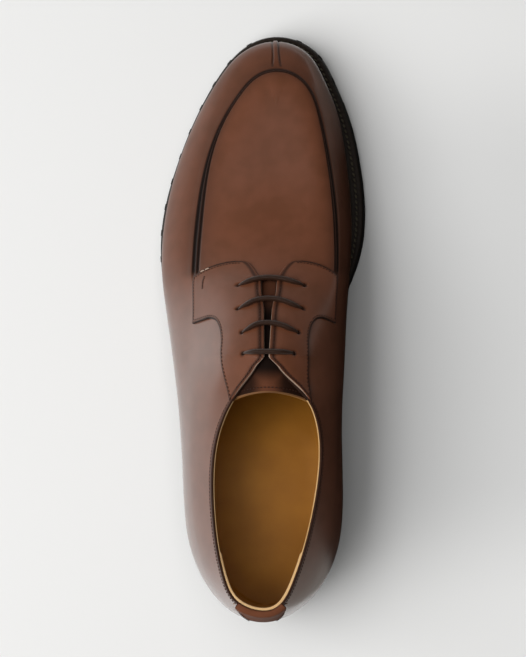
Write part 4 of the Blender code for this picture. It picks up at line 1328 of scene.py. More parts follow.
half = np.linspace(0, math.pi, INSOLE_ROWS)[:, None]
across = (1 - np.cos(np.linspace(0, math.pi, INSOLE_COLUMNS))) / 2
medial_edge, lateral_edge = [np.stack(sole_loop(turn, feather_inset(turn) + WALL + INSOLE_CLEARANCE))
                             for turn in (half, TURN - half)]
x, y = lateral_edge + (medial_edge - lateral_edge) * across
from_side = np.minimum(across, 1 - across) * (medial_edge - lateral_edge)[0]
dish = INSOLE_DISH * ease(*DISH_EDGE, from_side) * ease(*DISH_HEEL, half) * ease(*DISH_TOE, half)
low = tread_height(y) + OUTSOLE_THICKNESS + GAP
high = low + WELT_THICKNESS + INSOLE_RISE + fade_in(INSOLE_TURN_UP, from_side) - dish
points, faces = closed_sheet(np.stack((x, y, high), axis=-1), np.stack((x, y, low), axis=-1))
add_piece("insole_sock", points, [faces], [SOCK], ["insole"])

# %% [markdown]
# Rubber, welt leather and thread. The rubber is moulded and matt, with a little dust in its pores. The welt
# is leather, inked nearly black. The threads are twisted and waxed. All three are dull and finely rough, so
# one noise of the right size in millimetres does for each.

# %% Rubber, welt leather and thread
# The pores of rubber and of inked leather are about 0.2 mm wide; they are drawn coarser, so that they show.
RUBBER_GRIT = 0.7 * MM
WELT_GRIT = 1.2 * MM
THREAD_PLY = 0.35 * MM


def matt_grit(name, light, deep, roughness, grit, relief):
    """A matt, slightly rough surface: one noise of the grit's size mixes two tones and lifts the surface."""
    material, tree, shader, place = new_material(name, Roughness=roughness, IOR=1.5)
    speck = add_node(tree, "ShaderNodeTexNoise", {"Vector": place, "Scale": 1 / grit, "Detail": 3.0})
    tone = add_node(tree, "ShaderNodeMix", {0: speck.outputs["Fac"], 6: colour(deep), 7: colour(light)},
                    data_type="RGBA")
    tree.links.new(tone.outputs[2], shader.inputs["Base Color"])
    rough = add_node(tree, "ShaderNodeBump",
                     {"Height": speck.outputs["Fac"], "Strength": 0.35, "Distance": relief * MM})
    tree.links.new(rough.outputs["Normal"], shader.inputs["Normal"])
    return material


# Rubber is near black and dusty, inked leather a shade browner, and the threads are fine dull lines.
RUBBER = matt_grit("moulded_black_rubber", "#2a2725", "#1a1817", 0.62, RUBBER_GRIT, 0.06)
WELT = matt_grit("inked_welt_leather", "#302822", "#1b1613", 0.5, WELT_GRIT, 0.1)
THREAD = matt_grit("waxed_brown_thread", "#3a2118", "#22130d", 0.5, THREAD_PLY, 0.03)
WELT_THREAD = matt_grit("waxed_welt_thread", "#625c4c", "#423d31", 0.55, THREAD_PLY, 0.03)
PALE_THREAD = matt_grit("undyed_thread", "#b4a191", "#978473", 0.6, THREAD_PLY, 0.03)
print("made", RUBBER.name, WELT.name, THREAD.name, WELT_THREAD.name, PALE_THREAD.name)

# %% [markdown]
# The cord of the lace is a round braid of waxed cotton. Its strands follow the cord, so they are drawn
# along the piece's own map of length and turn: a pattern in space would cut across every bend.

# %% Waxed cord
BRAID_PITCH = 2.2


def waxed_cord(name, light, deep):
    """Braid: two sets of strands wind round the cord in opposite ways, under a soft coat of wax."""
    material, tree, shader, _ = new_material(name, Roughness=0.42, IOR=1.5, Coat_Weight=0.6,
                                             Coat_Roughness=0.35, Coat_IOR=1.8)
    run = add_node(tree, "ShaderNodeUVMap", uv_map="length_and_turn")
    waves = []
    for tilt in (math.pi / 4, -math.pi / 4):
        wound = add_node(tree, "ShaderNodeMapping", {"Vector": run.outputs[0], "Rotation": (0, 0, tilt)})
        waves.append(add_node(tree, "ShaderNodeTexWave", {"Vector": wound.outputs[0], "Scale": 2.0}))
    strands = add_node(tree, "ShaderNodeMath", {0: waves[0].outputs["Fac"], 1: waves[1].outputs["Fac"]},
                       operation="MULTIPLY")
    tone = add_node(tree, "ShaderNodeMix", {0: strands.outputs[0], 6: colour(deep), 7: colour(light)},
                    data_type="RGBA")
    tree.links.new(tone.outputs[2], shader.inputs["Base Color"])
    weave = add_node(tree, "ShaderNodeBump",
                     {"Height": strands.outputs[0], "Strength": 0.5, "Distance": 0.15 * MM})
    tree.links.new(weave.outputs["Normal"], shader.inputs["Normal"])
    return material


# The braid is a dark brown whose wax catches the light along its strands.
CORD = waxed_cord("waxed_cotton_braid", "#422a1d", "#22140d")
print("made", CORD.name, "with strands", BRAID_PITCH, "mm apart")

# %% [markdown]
# The welt is a strip of leather round the sole's edge, with a stitch channel along its top and the marks of
# a toothed wheel across it. It is a profile carried round the sole's edge; a bevelled curve would do the
# same, but here its width can follow the upper.

# %% Welt
WELT_COLUMNS = 1500
EDGE_SAMPLES = 6001
WELT_LOW = OUTSOLE_THICKNESS + GAP
WELT_HIGH = WELT_LOW + WELT_THICKNESS
WELT_ROUND = 0.6
WELT_CORNER = 0.15
WELT_CORNER_DROP = 0.2
WHEEL_PITCH = 2.9
WHEEL_DEPTH = 0.25
CHANNEL_DEPTH = 0.3
CHANNEL_SHARES = (0.30, 0.40, 0.50, 0.60)


def run_lengths(points):
    """Length along a path from its first point to each of its points."""
    return np.concatenate(([0.0], np.cumsum(np.linalg.norm(np.diff(points, axis=0), axis=1))))


def sole_run(angle):
    """Length along the sole's edge from the first angle."""
    return run_lengths(np.stack(sole_loop(angle, 0.0), axis=-1))


def sole_rings(angle, profile):
    """Loops round the sole, one for each inset and rise of a profile."""
    return np.stack([sole_points(angle, inset, rise + 0 * angle) for inset, rise in profile])


turn = np.linspace(0, TURN, EDGE_SAMPLES)
edge_run = sole_run(turn)
angle = np.interp(np.linspace(0, edge_run[-1], WELT_COLUMNS, endpoint=False), edge_run, turn)
flare = sole_flare(angle)
inner_edge = feather_inset(angle) + WALL + GAP
wheel = np.cos(TURN * np.interp(angle, turn, edge_run) / WHEEL_PITCH) * WHEEL_DEPTH / 2
channel = [flare + share * (feather_inset(angle) - flare) for share in CHANNEL_SHARES]
rings = sole_rings(angle, [
    (inner_edge, WELT_LOW),
    (flare + WELT_ROUND, WELT_LOW),
    (flare + WELT_CORNER, WELT_LOW + WELT_CORNER_DROP),
    (flare, WELT_LOW + WELT_ROUND),
    (flare, WELT_HIGH - WELT_ROUND),
    (flare + WELT_CORNER, WELT_HIGH - WELT_CORNER_DROP + wheel / 2),
    (flare + WELT_ROUND, WELT_HIGH + wheel),
    (channel[0], WELT_HIGH + wheel),
    (channel[1], WELT_HIGH - CHANNEL_DEPTH),
    (channel[2], WELT_HIGH - CHANNEL_DEPTH),
    (channel[3], WELT_HIGH),
    (inner_edge, WELT_HIGH),
])
quads = grid_quads(*rings.shape[:2], wrap_rows=True, wrap_columns=True)
add_piece("welt_leather", rings, [quads], [WELT], ["welt"])

# %% [markdown]
# The outsole's edge is cut by notches that leave lugs round the forefoot. A pair of close columns stands at
# each side of every notch, so that its walls are upright. Cutting the notches with a boolean would leave
# long thin faces.

# %% Notches of the outsole
LUG_PITCH = 14.0
LUG_NOTCH = 3.2
LUG_FIRST = 158.0
LUG_RAMP = 0.06
SOLE_STEP = 1.6


def ladder_quads(first, half_count, upward):
    """Closes a loop with quads from its medial half to its lateral half; both halves have as many points."""
    count = 2 * half_count
    i = np.arange(half_count)
    quads = first + np.stack((i, i + 1, count - i - 1, (count - i) % count), axis=-1)
    return quads if upward else quads[:, ::-1]


def lug_columns(medial):
    """Angles along one side and whether each is inside a notch, with close pairs at the notches' walls."""
    side = HALF_TURN if medial else TURN - HALF_TURN
    run = sole_run(side)
    first = np.interp(LUG_FIRST, sole_loop(side, 0.0)[1], run)
    notches = np.arange(first, run[-1] - LUG_PITCH / 4, LUG_PITCH)
    walls = LUG_NOTCH / 2 + np.array((-LUG_RAMP, 0.0))
    edges = (notches[:, None] + np.concatenate((-walls, walls))).ravel()
    at = np.unique(np.concatenate((np.arange(0, run[-1], SOLE_STEP), edges, [run[-1]])))
    inside = np.abs(at[:, None] - notches).min(axis=1) < LUG_NOTCH / 2 - LUG_RAMP / 2
    return inside, np.interp(at, run, HALF_TURN)


def paired_columns():
    """Angles of a whole turn with as many columns on the lateral half as on the medial half."""
    sides = [lug_columns(medial) for medial in (True, False)]
    longest = max(len(half) for inside, half in sides)
    turns = []
    cuts = []
    for inside, half in sides:
        spare = longest - len(half)
        extra = np.linspace(half[0], half[1], spare + 2)[1:-1]
        turns.append(np.concatenate((half[:1], extra, half[1:])))
        cuts.append(np.concatenate((inside[:1], np.zeros(spare, bool), inside[1:])))
    angle = np.concatenate((turns[0], TURN - turns[1][1:-1][::-1]))
    return angle, np.concatenate((cuts[0], cuts[1][1:-1][::-1]))


angle, notched = paired_columns()
print("outsole has", len(angle), "columns,", np.count_nonzero(notched), "of them in notches")

# %% [markdown]
# The outsole is a rubber plate with a flared edge, a rounded lower corner and a fine line along its side.
# Loops of the sole's edge are stacked from the underside to the top, and the loops below are lifted in the
# notches.

# %% Outsole
LUG_DEPTH = 2.6
LUG_LENGTH = 9.0
LUG_WALL = 0.2
SOLE_ROUND = 0.9
SOLE_CORNER = 0.28 * SOLE_ROUND
EDGE_LINE = (1.6, 1.3, 1.0)
EDGE_LINE_DEPTH = 0.35

lift = np.where(notched, LUG_DEPTH, 0.0)
flare = sole_flare(angle)
rings = sole_rings(angle, [
    (LUG_LENGTH + LUG_WALL, 0.0),
    (LUG_LENGTH, lift),
    (SOLE_ROUND, lift),
    (SOLE_CORNER, lift + SOLE_CORNER),
    (0.0, lift + SOLE_ROUND),
    (flare / 2, OUTSOLE_THICKNESS - EDGE_LINE[0]),
    (flare / 2 + EDGE_LINE_DEPTH, OUTSOLE_THICKNESS - EDGE_LINE[1]),
    (flare, OUTSOLE_THICKNESS - EDGE_LINE[2]),
    (flare, OUTSOLE_THICKNESS),
])
half_count = len(angle) // 2
quads = np.concatenate((grid_quads(*rings.shape[:2], wrap_columns=True), ladder_quads(0, half_count, False),
                        ladder_quads((len(rings) - 1) * len(angle), half_count, True)))
add_piece("rubber_outsole", rings, [quads], [RUBBER], ["outsole"])

# %% [markdown]
# The heel block: the sole's edge tapered down to the floor, with a hollowed breast at its front and a fine
# line where the top piece is joined on. An extruded outline could be scaled, but a stack of rings lets the
# side taper and hold its line. It is closed by one face below and one above.

# %% Heel
Ring = namedtuple("Ring", "inset share")
HEEL_SIDE = [
    Ring(2.4, 0.0),
    Ring(1.8, 0.03),
    Ring(1.55, 0.28),
    Ring(1.85, 0.30),
    Ring(1.5, 0.32),
    Ring(0.9, 0.65),
    Ring(0.8, 1.0),
]
HEEL_COLUMNS = 180
BREAST_COLUMNS = 30
BREAST_RADIUS = 80.0
BREAST_HOLLOW = 4.0


def heel_ring(ring):
    """One ring of the heel: round the back between the breast's corners, then along the hollow breast."""
    breast_end = HEEL_BREAST + BREAST_HOLLOW
    corner = angle_at(breast_end, True, SOLE_HEEL.station, SOLE_TOE.station)
    x, y = sole_loop(np.linspace(-corner, corner, HEEL_COLUMNS), ring.inset)
    front = np.linspace(x[-1], x[0], BREAST_COLUMNS)[1:-1]
    arc = HEEL_BREAST - BREAST_HOLLOW + BREAST_RADIUS - np.sqrt(BREAST_RADIUS ** 2 - front ** 2)
    x = np.concatenate((x, front))
    y = np.concatenate((y, np.minimum(arc, breast_end)))
    return np.stack((x, y, ring.share * (tread_height(y) - GAP)), axis=-1)


rings = np.stack([heel_ring(ring) for ring in HEEL_SIDE])
faces = [grid_quads(*rings.shape[:2], wrap_columns=True), end_caps(*rings.shape[:2])]
add_piece("heel_block", rings, faces, [RUBBER], ["heel"])

# %% [markdown]
# The lace. One round cord passes through all eight holes: four straight bars show, and it runs from row to
# row under the facings. Both ends stop under the top pair of holes. It is a circle carried along one smooth
# path, which is thinner where a hole pinches it. A curve with a bevel could do it, but not with a radius
# for each hole.

# %% Way of the lace
LACE_RADIUS = 1.35
LACE_STEP = 0.6
BAR_SHARES = np.array((0.12, 0.35, 0.6, 0.85))
BAR_CLEARANCE = 0.05
BAR_LIFTS = FACING_HEIGHT + LACE_RADIUS * np.array((0.1, 0.7, 0.95, 1.0)) + BAR_CLEARANCE
HOLE_DEPTH = 0.4
HIDDEN_CLEARANCE = 0.9
HIDDEN_DEPTH = WALL + HIDDEN_CLEARANCE
RUN_SHARES = (0.18, 0.5, 0.82)
FIRST_END = (-0.5, -0.25)
LAST_END = (0.25, 0.5, 0.75)


def lace_bar(row):
    """Way points of one bar from the lateral hole to the medial hole, over both facings."""
    sides = []
    for medial in (False, True):
        level = row.medial_level if medial else row.lateral_level
        angle = angle_at(row.station, medial)
        bow = (row.centre_station - row.station) * ease(0, 1, BAR_SHARES)
        bar_level = level + (3 - level) * BAR_SHARES
        over = offset_surface(angle_at(row.station + bow, medial), bar_level, BAR_LIFTS)
        sides.append(np.concatenate((offset_surface(angle, level, [-HOLE_DEPTH]), over)))
    return np.concatenate((sides[0], sides[1][::-1]))


def hidden_run(first, last, medial, shares):
    """Way points under the wall at shares of the way from one row's hole to another's on the same side."""
    share = np.array(shares)
    levels = [row.medial_level if medial else row.lateral_level for row in (first, last)]
    station = first.station + (last.station - first.station) * share
    level = levels[0] + (levels[1] - levels[0]) * share
    return offset_surface(angle_at(station, medial), level, np.full(len(share), -HIDDEN_DEPTH))


def lace_path():
    """The bars in the order of threading, joined by the hidden runs, and where the lace is hidden."""
    low, second, third, top = LACE_ROWS
    parts = [
        hidden_run(top, third, False, FIRST_END),
        lace_bar(top),
        hidden_run(top, second, True, RUN_SHARES),
        lace_bar(second)[::-1],
        hidden_run(second, low, False, RUN_SHARES),
        lace_bar(low),
        hidden_run(low, third, True, RUN_SHARES),
        lace_bar(third)[::-1],
        hidden_run(third, top, False, LAST_END),
    ]
    way = np.concatenate(parts)
    under = np.concatenate([np.full(len(part), index % 2 == 0) for index, part in enumerate(parts)])
    chord = run_lengths(way)
    at = np.arange(0, chord[-1], LACE_STEP)
    path = np.stack([spline(chord, way[:, axis], at) for axis in range(3)], axis=-1)
    return path, at, np.interp(at, chord, under)


path, at, hidden = lace_path()
in_sight = LACE_STEP * np.count_nonzero(hidden == 0)
print("lace path", round(float(at[-1])), "mm long,", round(in_sight), "mm in sight")

# %% [markdown]
# The cord round that path. Two directions across the path are needed at every point. Each pair is carried
# on from the pair before it with the least turn, so that the braid doesn't spin. A pair that is squared
# from one fixed direction would be quicker, but it can turn the braid at a bend.

# %% Lace
LACE_SIDES = 14
LACE_PINCH = 0.42
LACE_TAPER = 7.0
HIDDEN_RADIUS = 0.85
FIRST_SLANT = (0.0, 0.3, 1.0)
STRANDS = 4
BLUNT_END = 0.02


def carried_frames(path):
    """Two directions across a path at each point, turned as little as possible from one point to the next.

    Each side is the one before it without its share along the path, made one unit long.
    """
    along = unit(np.gradient(path, axis=0))
    side = np.cross(along[0], FIRST_SLANT)
    sides = []
    for direction in along:
        side = unit(side - direction * np.dot(side, direction))
        sides.append(side)
    return np.array(sides), np.cross(along, sides)


def tube(path, at, radius, sides):
    """A circle of given radius at each point of a path, with rounded ends, and its map of length and turn."""
    side, up = carried_frames(path)
    turn = np.linspace(0, TURN, sides, endpoint=False)
    ring = np.cos(turn)[None, :, None] * side[:, None] + np.sin(turn)[None, :, None] * up[:, None]
    end = np.minimum(at - at[0], at[-1] - at)
    size = radius * np.sqrt(1 - (1 - np.clip(end / radius, BLUNT_END, 1)) ** 2)
    points = path[:, None] + ring * size[:, None, None]
    uv = np.stack(np.broadcast_arrays(at[:, None] / BRAID_PITCH, turn[None] / TURN * STRANDS), axis=-1)
    return points, uv


holes = [middle + FACING_HEIGHT * out for middle, out in map(eyelet_points, (False, True))]
pinch = ease(0, LACE_TAPER, nearest(path, np.concatenate(holes)))
radius = LACE_RADIUS * (LACE_PINCH + (1 - LACE_PINCH) * pinch)
points, uv = tube(path, at, np.where(hidden > 0, np.minimum(radius, HIDDEN_RADIUS), radius), LACE_SIDES)
faces = [grid_quads(*points.shape[:2], wrap_columns=True), end_caps(*points.shape[:2])]
add_piece("waxed_lace", points, faces, [CORD],
          ["lace_bar_1", "lace_bar_2", "lace_bar_3", "lace_bar_4"], uv=uv)

# %% [markdown]
# Stitches. Each is a short thread that dives into the leather at both ends. One small capsule is worked out
# and laid along every row as whole arrays. An Array modifier on a curve could do it, but it would bend
# every stitch and hold the curves too.

# %% One stitch and a row of them
Seam = namedtuple("Seam", "pitch length radius lean")
FINE_SEAM = Seam(1.7, 1.6, 0.22, 0.0)
EDGE_SEAM = Seam(1.9, 1.6, 0.3, 0.0)
WELT_SEAM = Seam(2.9, 2.4, 0.5, 0.35)
TACK_SEAM = Seam(0.8, 1.6, 0.3, 1.5)
LOOSE_THREAD = Seam(2.9, 2.9, 0.35, 0.0)
SHORT_THREAD = Seam(2.2, 2.2, 0.3, 0.0)
CAPSULE_RINGS = np.linspace(-1, 1, 6)[:, None]
CAPSULE_TURNS = np.linspace(0, TURN, 6, endpoint=False)
CAPSULE_BULK = 1.02
CAPSULE_RISE = 0.35


def resample(path, normals, step):
    """Points, normals and directions of a path at an even step along its length."""
    run = run_lengths(path)
    at = np.arange(step / 2, run[-1], step)
    columns = np.concatenate((path, normals, np.gradient(path, axis=0)), axis=1)
    even = np.stack([np.interp(at, run, column) for column in columns.T], axis=-1)
    return even[:, :3], unit(even[:, 3:6]), even[:, 6:]


def stitch_row(path, normals, seam):
    """Capsules at each pitch along a path: rings across the thread, thin at both ends and sunk there."""
    centre, up, along = resample(path, normals, seam.pitch)
    along = unit(along - up * (along * up).sum(axis=-1, keepdims=True))
    along = along * math.cos(seam.lean) + np.cross(up, along) * math.sin(seam.lean)
    side = np.cross(up, along)
    thick = seam.radius * np.sqrt(CAPSULE_BULK - CAPSULE_RINGS ** 2)
    lift = thick * np.sin(CAPSULE_TURNS) + seam.radius * (CAPSULE_RISE - CAPSULE_RINGS ** 2)
    run = CAPSULE_RINGS * seam.length / 2
    local = np.stack(np.broadcast_arrays(run, thick * np.cos(CAPSULE_TURNS), lift), axis=-1)
    axes = np.stack((along, side, up), axis=1)
    return centre[:, None, None] + np.einsum("rcl,nlk->nrck", local, axes)


def add_stitches(name, rows, material):
    """All stitch rows of one thread as one piece: the same few faces on each stitch's own points."""
    points = np.concatenate([stitch_row(*row) for row in rows])
    count, rings, turns = points.shape[:3]
    first = np.arange(count)[:, None, None] * rings * turns
    quads = first + grid_quads(rings, turns, wrap_columns=True)
    caps = first + end_caps(rings, turns)
    add_piece(name, points, [quads.reshape(-1, 4), caps.reshape(-1, turns)], [material])
    print(name, "has", count, "stitches")


print("a stitch is", CAPSULE_RINGS.size, "rings of", CAPSULE_TURNS.size, "points")

# %% [markdown]
# Where a row of stitches runs. Some rows follow a line of the upper, at given angles and levels. The rows
# on the facings follow their sewn edge at an even distance, as the guide of a sewing machine keeps it.

# %% Ways for a row of stitches
INSET_SHARE = 0.93


def surface_row(angle, level, height, seam):
    """A stitch row on the upper's surface at these angles and levels."""
    angle, level = np.broadcast_arrays(angle, level)
    return offset_surface(angle, level, np.broadcast_to(height, angle.shape)), outward(angle, level), seam


def inset_row(outline, normals, inset, height):
    """A stitch row's path and normals inside an outline: moved across the surface by inset.

    It keeps to the side that is nearer to the outline's middle, and drops points too near to the edge.
    """
    inwards = inset * unit(np.cross(normals, np.gradient(outline, axis=0)))
    middle = outline.mean(axis=0)[None]
    trial = min((outline + inwards, outline - inwards), key=lambda moved: nearest(moved, middle).mean())
    clear = nearest(trial, outline) > INSET_SHARE * inset
    return (trial + height * normals)[clear], normals[clear]


print("from stitch to stitch:", FINE_SEAM.pitch, EDGE_SEAM.pitch, "and on the welt", WELT_SEAM.pitch, "mm")

# %% [markdown]
# Rows on the upper. The facings are sewn round their outer edge, finer at the front, and along the slot.
# The collar, the strap's sides and the tongue's end have rows too, and a bar tack holds the lateral facing.

# %% Stitch rows on the upper
EDGE_INSET = 1.5
COARSE_END = FACING[7].outer_station + EDGE_INSET
SLOT_ROW = (SLOT_FRONT - 1, 118.5)
SLOT_POINTS = 140
COLLAR_POINTS = 300
STRAP_SEAM_COLUMNS = (2, -3)
STRAP_LIFT = 0.2
TONGUE_SEAM = 2.7
TONGUE_SEAM_HALF = 0.62
TONGUE_SEAM_POINTS = 80
ARCH_STEPS = (-0.5, 0.0, 0.5)
TACK_STATIONS = (174.4, 168.0)
TACK_LEVEL = 2.215
TACK_POINTS = 20

rows = []
for medial in (False, True):
    base, normal, _ = facing_surface(medial)
    inner_station = facing_cuts("inner_station")[:, 0]
    edge_station = np.concatenate((np.full(len(base[0]), inner_station[0]), inner_station[1:]))
    outer_edge, edge_normals = [np.concatenate((grid[0], grid[1:, -1])) for grid in (base, normal)]
    path, normals = inset_row(outer_edge, edge_normals, EDGE_INSET, facing_height(edge_station)[:, None])
    ahead = path[:, 1] > COARSE_END
    rows.append((path[ahead], normals[ahead], FINE_SEAM))
    rows.append((path[~ahead], normals[~ahead], EDGE_SEAM))
    slot_station = np.linspace(*SLOT_ROW, SLOT_POINTS)
    slot_angle = angle_at(slot_station, medial)
    slot_level = 3 - (SLOT_WAX_AND_SHADE.at - slot_overhang(slot_station)) / panel_lengths(slot_angle)[0]
    rows.append(surface_row(slot_angle, slot_level, facing_height(slot_station), EDGE_SEAM))
collar_half = np.linspace(0, angle_at(COLLAR_BLEND, True), COLLAR_POINTS)
collar_turn = np.concatenate((-collar_half[:0:-1], collar_half))
rows.append(surface_row(collar_turn, 3 - EDGE_INSET / panel_lengths(collar_turn)[0], 0.0, FINE_SEAM))
strap_angle, strap_level = strap_surface()
for column in STRAP_SEAM_COLUMNS:
    strap_line = (strap_angle[:, column], strap_level[:, column])
    rows.append(surface_row(*strap_line, FACING_HEIGHT + STRAP_LIFT, EDGE_SEAM))
across = np.linspace(-TONGUE_SEAM_HALF, TONGUE_SEAM_HALF, TONGUE_SEAM_POINTS)
line = np.stack([tongue_point(TONGUE[0].station + TONGUE_SEAM + step, across) for step in ARCH_STEPS])
rows.append((line[1], sheet_normals(line)[1], EDGE_SEAM))
tack_angle = angle_at(np.linspace(*TACK_STATIONS, TACK_POINTS), False)
rows.append(surface_row(tack_angle, TACK_LEVEL, FACING_HEIGHT, TACK_SEAM))
add_stitches("upper_stitches", rows, THREAD)

# %% [markdown]
# Three thread ends that the maker left: one at the front of the lateral facing and one at each upper corner
# of the strap. They are undyed, so they show as small pale dashes. Each is one long stitch.

# %% Thread ends
FACING_END_STATIONS = (176.6, 178.4)
FACING_END_LEVELS = (2.15, 2.27)
STRAP_END_TURNS = (1.05, 1.1)
STRAP_END_LEVELS = (2.9, 2.82)
THREAD_POINTS = 12

end_angle = angle_at(np.linspace(*FACING_END_STATIONS, THREAD_POINTS), False)
ends = [surface_row(end_angle, np.linspace(*FACING_END_LEVELS, THREAD_POINTS), FACING_HEIGHT, LOOSE_THREAD)]
for corner in strap_angle[1, [0, -1]]:
    end_angle = corner * np.linspace(*STRAP_END_TURNS, THREAD_POINTS)
    end_level = np.linspace(*STRAP_END_LEVELS, THREAD_POINTS)
    ends.append(surface_row(end_angle, end_level, STRAP_LIFT, SHORT_THREAD))
add_stitches("thread_ends", ends, PALE_THREAD)

# %% [markdown]
# The welt's stitches are thicker, lean a little and lie in its channel, from one side of the heel round the
# toe to the other. Their pitch is the same as that of the wheel's marks, which the maker runs along the
# finished seam.

# %% Stitches of the welt
WELT_STITCH_START = 60
WELT_STITCH_POINTS = 3000
WELT_STITCH_SHARE = 0.45
WELT_STITCH_SUNK = 0.1

welt_end = angle_at(WELT_STITCH_START, True)
welt_turn = np.linspace(welt_end, TURN - welt_end, WELT_STITCH_POINTS)
flare = sole_flare(welt_turn)
welt_inset = flare + WELT_STITCH_SHARE * (feather_inset(welt_turn) - flare)
welt_path = sole_points(welt_turn, welt_inset, WELT_HIGH - WELT_STITCH_SUNK)
straight_up = np.tile((0.0, 0.0, 1.0), (len(welt_path), 1))
add_stitches("welt_stitches", [(welt_path, straight_up, WELT_SEAM)], WELT_THREAD)

# %% [markdown]
# The floor is plain pale paper, large enough to have no edge in sight, so one flat sheet will do. It is a
# stage piece: it belongs to the picture and not to the shoe.

# %% Floor
FLOOR = [(-3000, -3000), (3000, -3000), (3000, 3000), (-3000, 3000)]


def add_stage_sheet(name, corners, height, material):
    """A flat sheet on the stage, from four corners in millimetres and a height above the floor."""
    mesh = bpy.data.meshes.new(name)
    mesh.from_pydata([(x * MM, y * MM, height * MM) for x, y in corners], [], [(0, 1, 2, 3)])
    mesh.materials.append(material)
    sheet = bpy.data.objects.new(name, mesh)
    bpy.context.scene.collection.objects.link(sheet)
    return sheet


paper = new_material("pale_paper_floor", Base_Color=colour("#e6e6e5"), Roughness=0.9)[0]
add_stage_sheet("floor", FLOOR, 0, paper)
print("floor of", paper.name)

# %% [markdown]
# A dark card on the medial side. Polished leather shows what it mirrors, so a dark card that is seen only
# in reflections lies on the floor there, pale again behind the heel and ahead of the ball. Photographers
# use such cards, and with this one the medial side keeps its deep brown.

# %% Dark card
DARK_CARD = [(46, -400), (2900, -400), (2900, 300), (46, 300)]
CARD_HEIGHT = 0.2
CARD_PALE = ((-132 * MM, -144 * MM), (90 * MM, 200 * MM))

shade, tree, shader, place = new_material("shaded_card", Roughness=0.9)
run = add_node(tree, "ShaderNodeSeparateXYZ", {0: place})
ends = [add_node(tree, "ShaderNodeMapRange", {"Value": run.outputs["Y"], "From Min": start, "From Max": end})
        for start, end in CARD_PALE]
pale = add_node(tree, "ShaderNodeMath", {0: ends[0].outputs[0], 1: ends[1].outputs[0]}, operation="MAXIMUM")
tone = add_node(tree, "ShaderNodeMix", {0: pale.outputs[0], 6: colour("#0a0908"), 7: colour("#9a9792")},
                data_type="RGBA")
tree.links.new(tone.outputs[2], shader.inputs["Base Color"])
card = add_stage_sheet("dark_card", DARK_CARD, CARD_HEIGHT, shade)
card.visible_camera = False
card.visible_diffuse = False
card.visible_shadow = False
print("card of", shade.name)

# %% [markdown]
# A flag of black felt on the same side. It is seen only by scattered light, and stops the pale floor from
# lighting that side of the shoe from below. Its edges fade out, so that it leaves no line on the leather.

# %% Flag
DARK_FLAG = [(20, -170), (300, -170), (300, 160), (20, 160)]
FLAG_HEIGHT = 0.1
FLAG_FADES = (
    ("X", 20 * MM, 60 * MM),
    ("X", 300 * MM, 150 * MM),
    ("Y", -150 * MM, -80 * MM),
    ("Y", 160 * MM, 80 * MM),
)

felt, tree, shader, place = new_material("black_felt", Base_Color=colour("#0a0908"), Roughness=0.9)
run = add_node(tree, "ShaderNodeSeparateXYZ", {0: place})
spot = 1.0
for axis, start, end in FLAG_FADES:
    soft_edge = add_node(tree, "ShaderNodeMapRange",
                         {"Value": run.outputs[axis], "From Min": start, "From Max": end},
                         interpolation_type="SMOOTHSTEP")
    product = add_node(tree, "ShaderNodeMath", {0: spot, 1: soft_edge.outputs[0]}, operation="MULTIPLY")
    spot = product.outputs[0]
tree.links.new(spot, shader.inputs["Alpha"])
flag = add_stage_sheet("dark_flag", DARK_FLAG, FLAG_HEIGHT, felt)
flag.visible_camera = False
flag.visible_glossy = False
flag.visible_shadow = False
print("flag of", felt.name)

# %% [markdown]
# Light. One wide soft light stands on the lateral side and a weaker one hangs overhead. Neither is
# mirrored, so they leave no glare on the leather. Places and sizes are in metres, powers in watts.

# %% Lights
Lamp = namedtuple("Lamp", "name place size power")
LAMPS = [
    Lamp("side_light", (-1.15, -0.25, 1.7), 1.7, 38),
    Lamp("top_light", (-0.3, 0.15, 2.55), 2.0, 29),
]


def look_at(place, aim, up):
    """A turn that points -Z at the aim and +Y as near to up as it can."""
    forward = unit(aim - place)
    upright = unit(up - forward * np.dot(up, forward))
    matrix = np.eye(4)
    matrix[:3] = np.stack((np.cross(forward, upright), upright, -forward, place), axis=1)
    return Matrix(matrix.tolist())


def add_lamp(lamp):
    """A square area light aimed at the middle of the shoe, left out of reflections."""
    data = bpy.data.lights.new(lamp.name, "AREA")
    data.size = lamp.size
    data.energy = lamp.power
    light = bpy.data.objects.new(lamp.name, data)
    bpy.context.scene.collection.objects.link(light)
    light.matrix_world = look_at(np.array(lamp.place), np.zeros(3), np.array((0.0, 1.0, 0.0)))
    light.visible_glossy = False
    print(lamp.name, lamp.power, "W")


for lamp in LAMPS:
    add_lamp(lamp)

# %% [markdown]
# The room is what the leather mirrors: soft grey, dim on the medial side and towards the top, with a faint
# glow straight above. A picture of a studio would do, but three smooth ramps are all that a dull gloss can
# show.

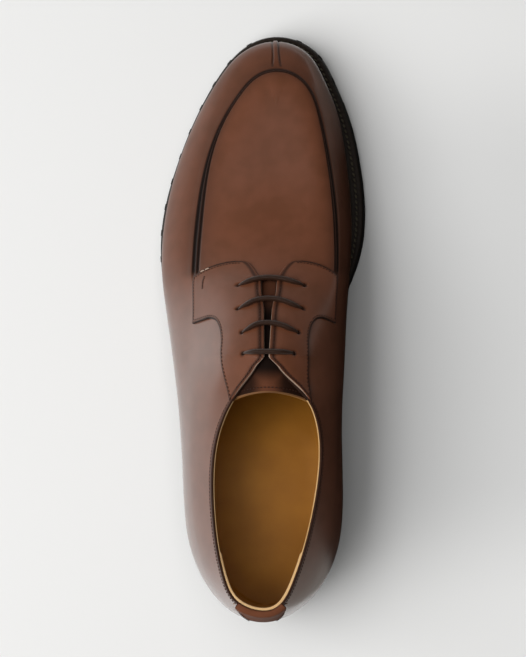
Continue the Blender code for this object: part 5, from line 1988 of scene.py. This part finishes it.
# %% Room
Ramp = namedtuple("Ramp", "axis start end low high")
ROOM_RAMPS = [
    Ramp("X", 1.0, -1.0, 0.02, 0.3),
    Ramp("Z", 0.9, 0.1, 0.15, 1.0),
    Ramp("Z", 0.93, 0.985, 0.0, 0.3),
]

room = bpy.data.worlds.new("soft_room")
room.use_nodes = True
tree = room.node_tree
around = add_node(tree, "ShaderNodeTexCoord")
direction = add_node(tree, "ShaderNodeSeparateXYZ", {0: around.outputs["Generated"]})
ramps = [add_node(tree, "ShaderNodeMapRange",
                  {"Value": direction.outputs[ramp.axis], "From Min": ramp.start, "From Max": ramp.end,
                   "To Min": ramp.low, "To Max": ramp.high}, interpolation_type="SMOOTHSTEP")
         for ramp in ROOM_RAMPS]
from_side, from_low, overhead = [ramp.outputs[0] for ramp in ramps]
glow = add_node(tree, "ShaderNodeMath", {0: from_side, 1: from_low}, operation="MULTIPLY")
total = add_node(tree, "ShaderNodeMath", {0: glow.outputs[0], 1: overhead}, operation="ADD")
background = tree.nodes["Background"]
tree.links.new(total.outputs[0], background.inputs["Strength"])
background.inputs["Color"].default_value = colour("#f4f2ee")
bpy.context.scene.world = room
bpy.context.scene.view_settings.view_transform = "Standard"
print("made", room.name, "of", len(ramps), "ramps")

# %% [markdown]
# The camera looks down from the photograph's own place, a little to the medial side, with the toe at the
# top. Its long lens keeps the shoe's proportions, as a photographer's would for a shop window.

# %% Camera
CAMERA_PLACE = np.array((57.3, -15.2, 1200.0)) * MM
CAMERA_AIM = np.array((2.0, -2.7, 45.0)) * MM
CAMERA_LENS = 124.0

camera_data = bpy.data.cameras.new("photo_camera")
camera_data.lens = CAMERA_LENS
camera = bpy.data.objects.new("photo_camera", camera_data)
bpy.context.scene.collection.objects.link(camera)
camera.matrix_world = look_at(CAMERA_PLACE, CAMERA_AIM, np.array((0.0, 1.0, 0.0)))
bpy.context.scene.camera = camera
print("camera with a", CAMERA_LENS, "mm lens,", round(float(CAMERA_PLACE[2]), 2), "m above the floor")
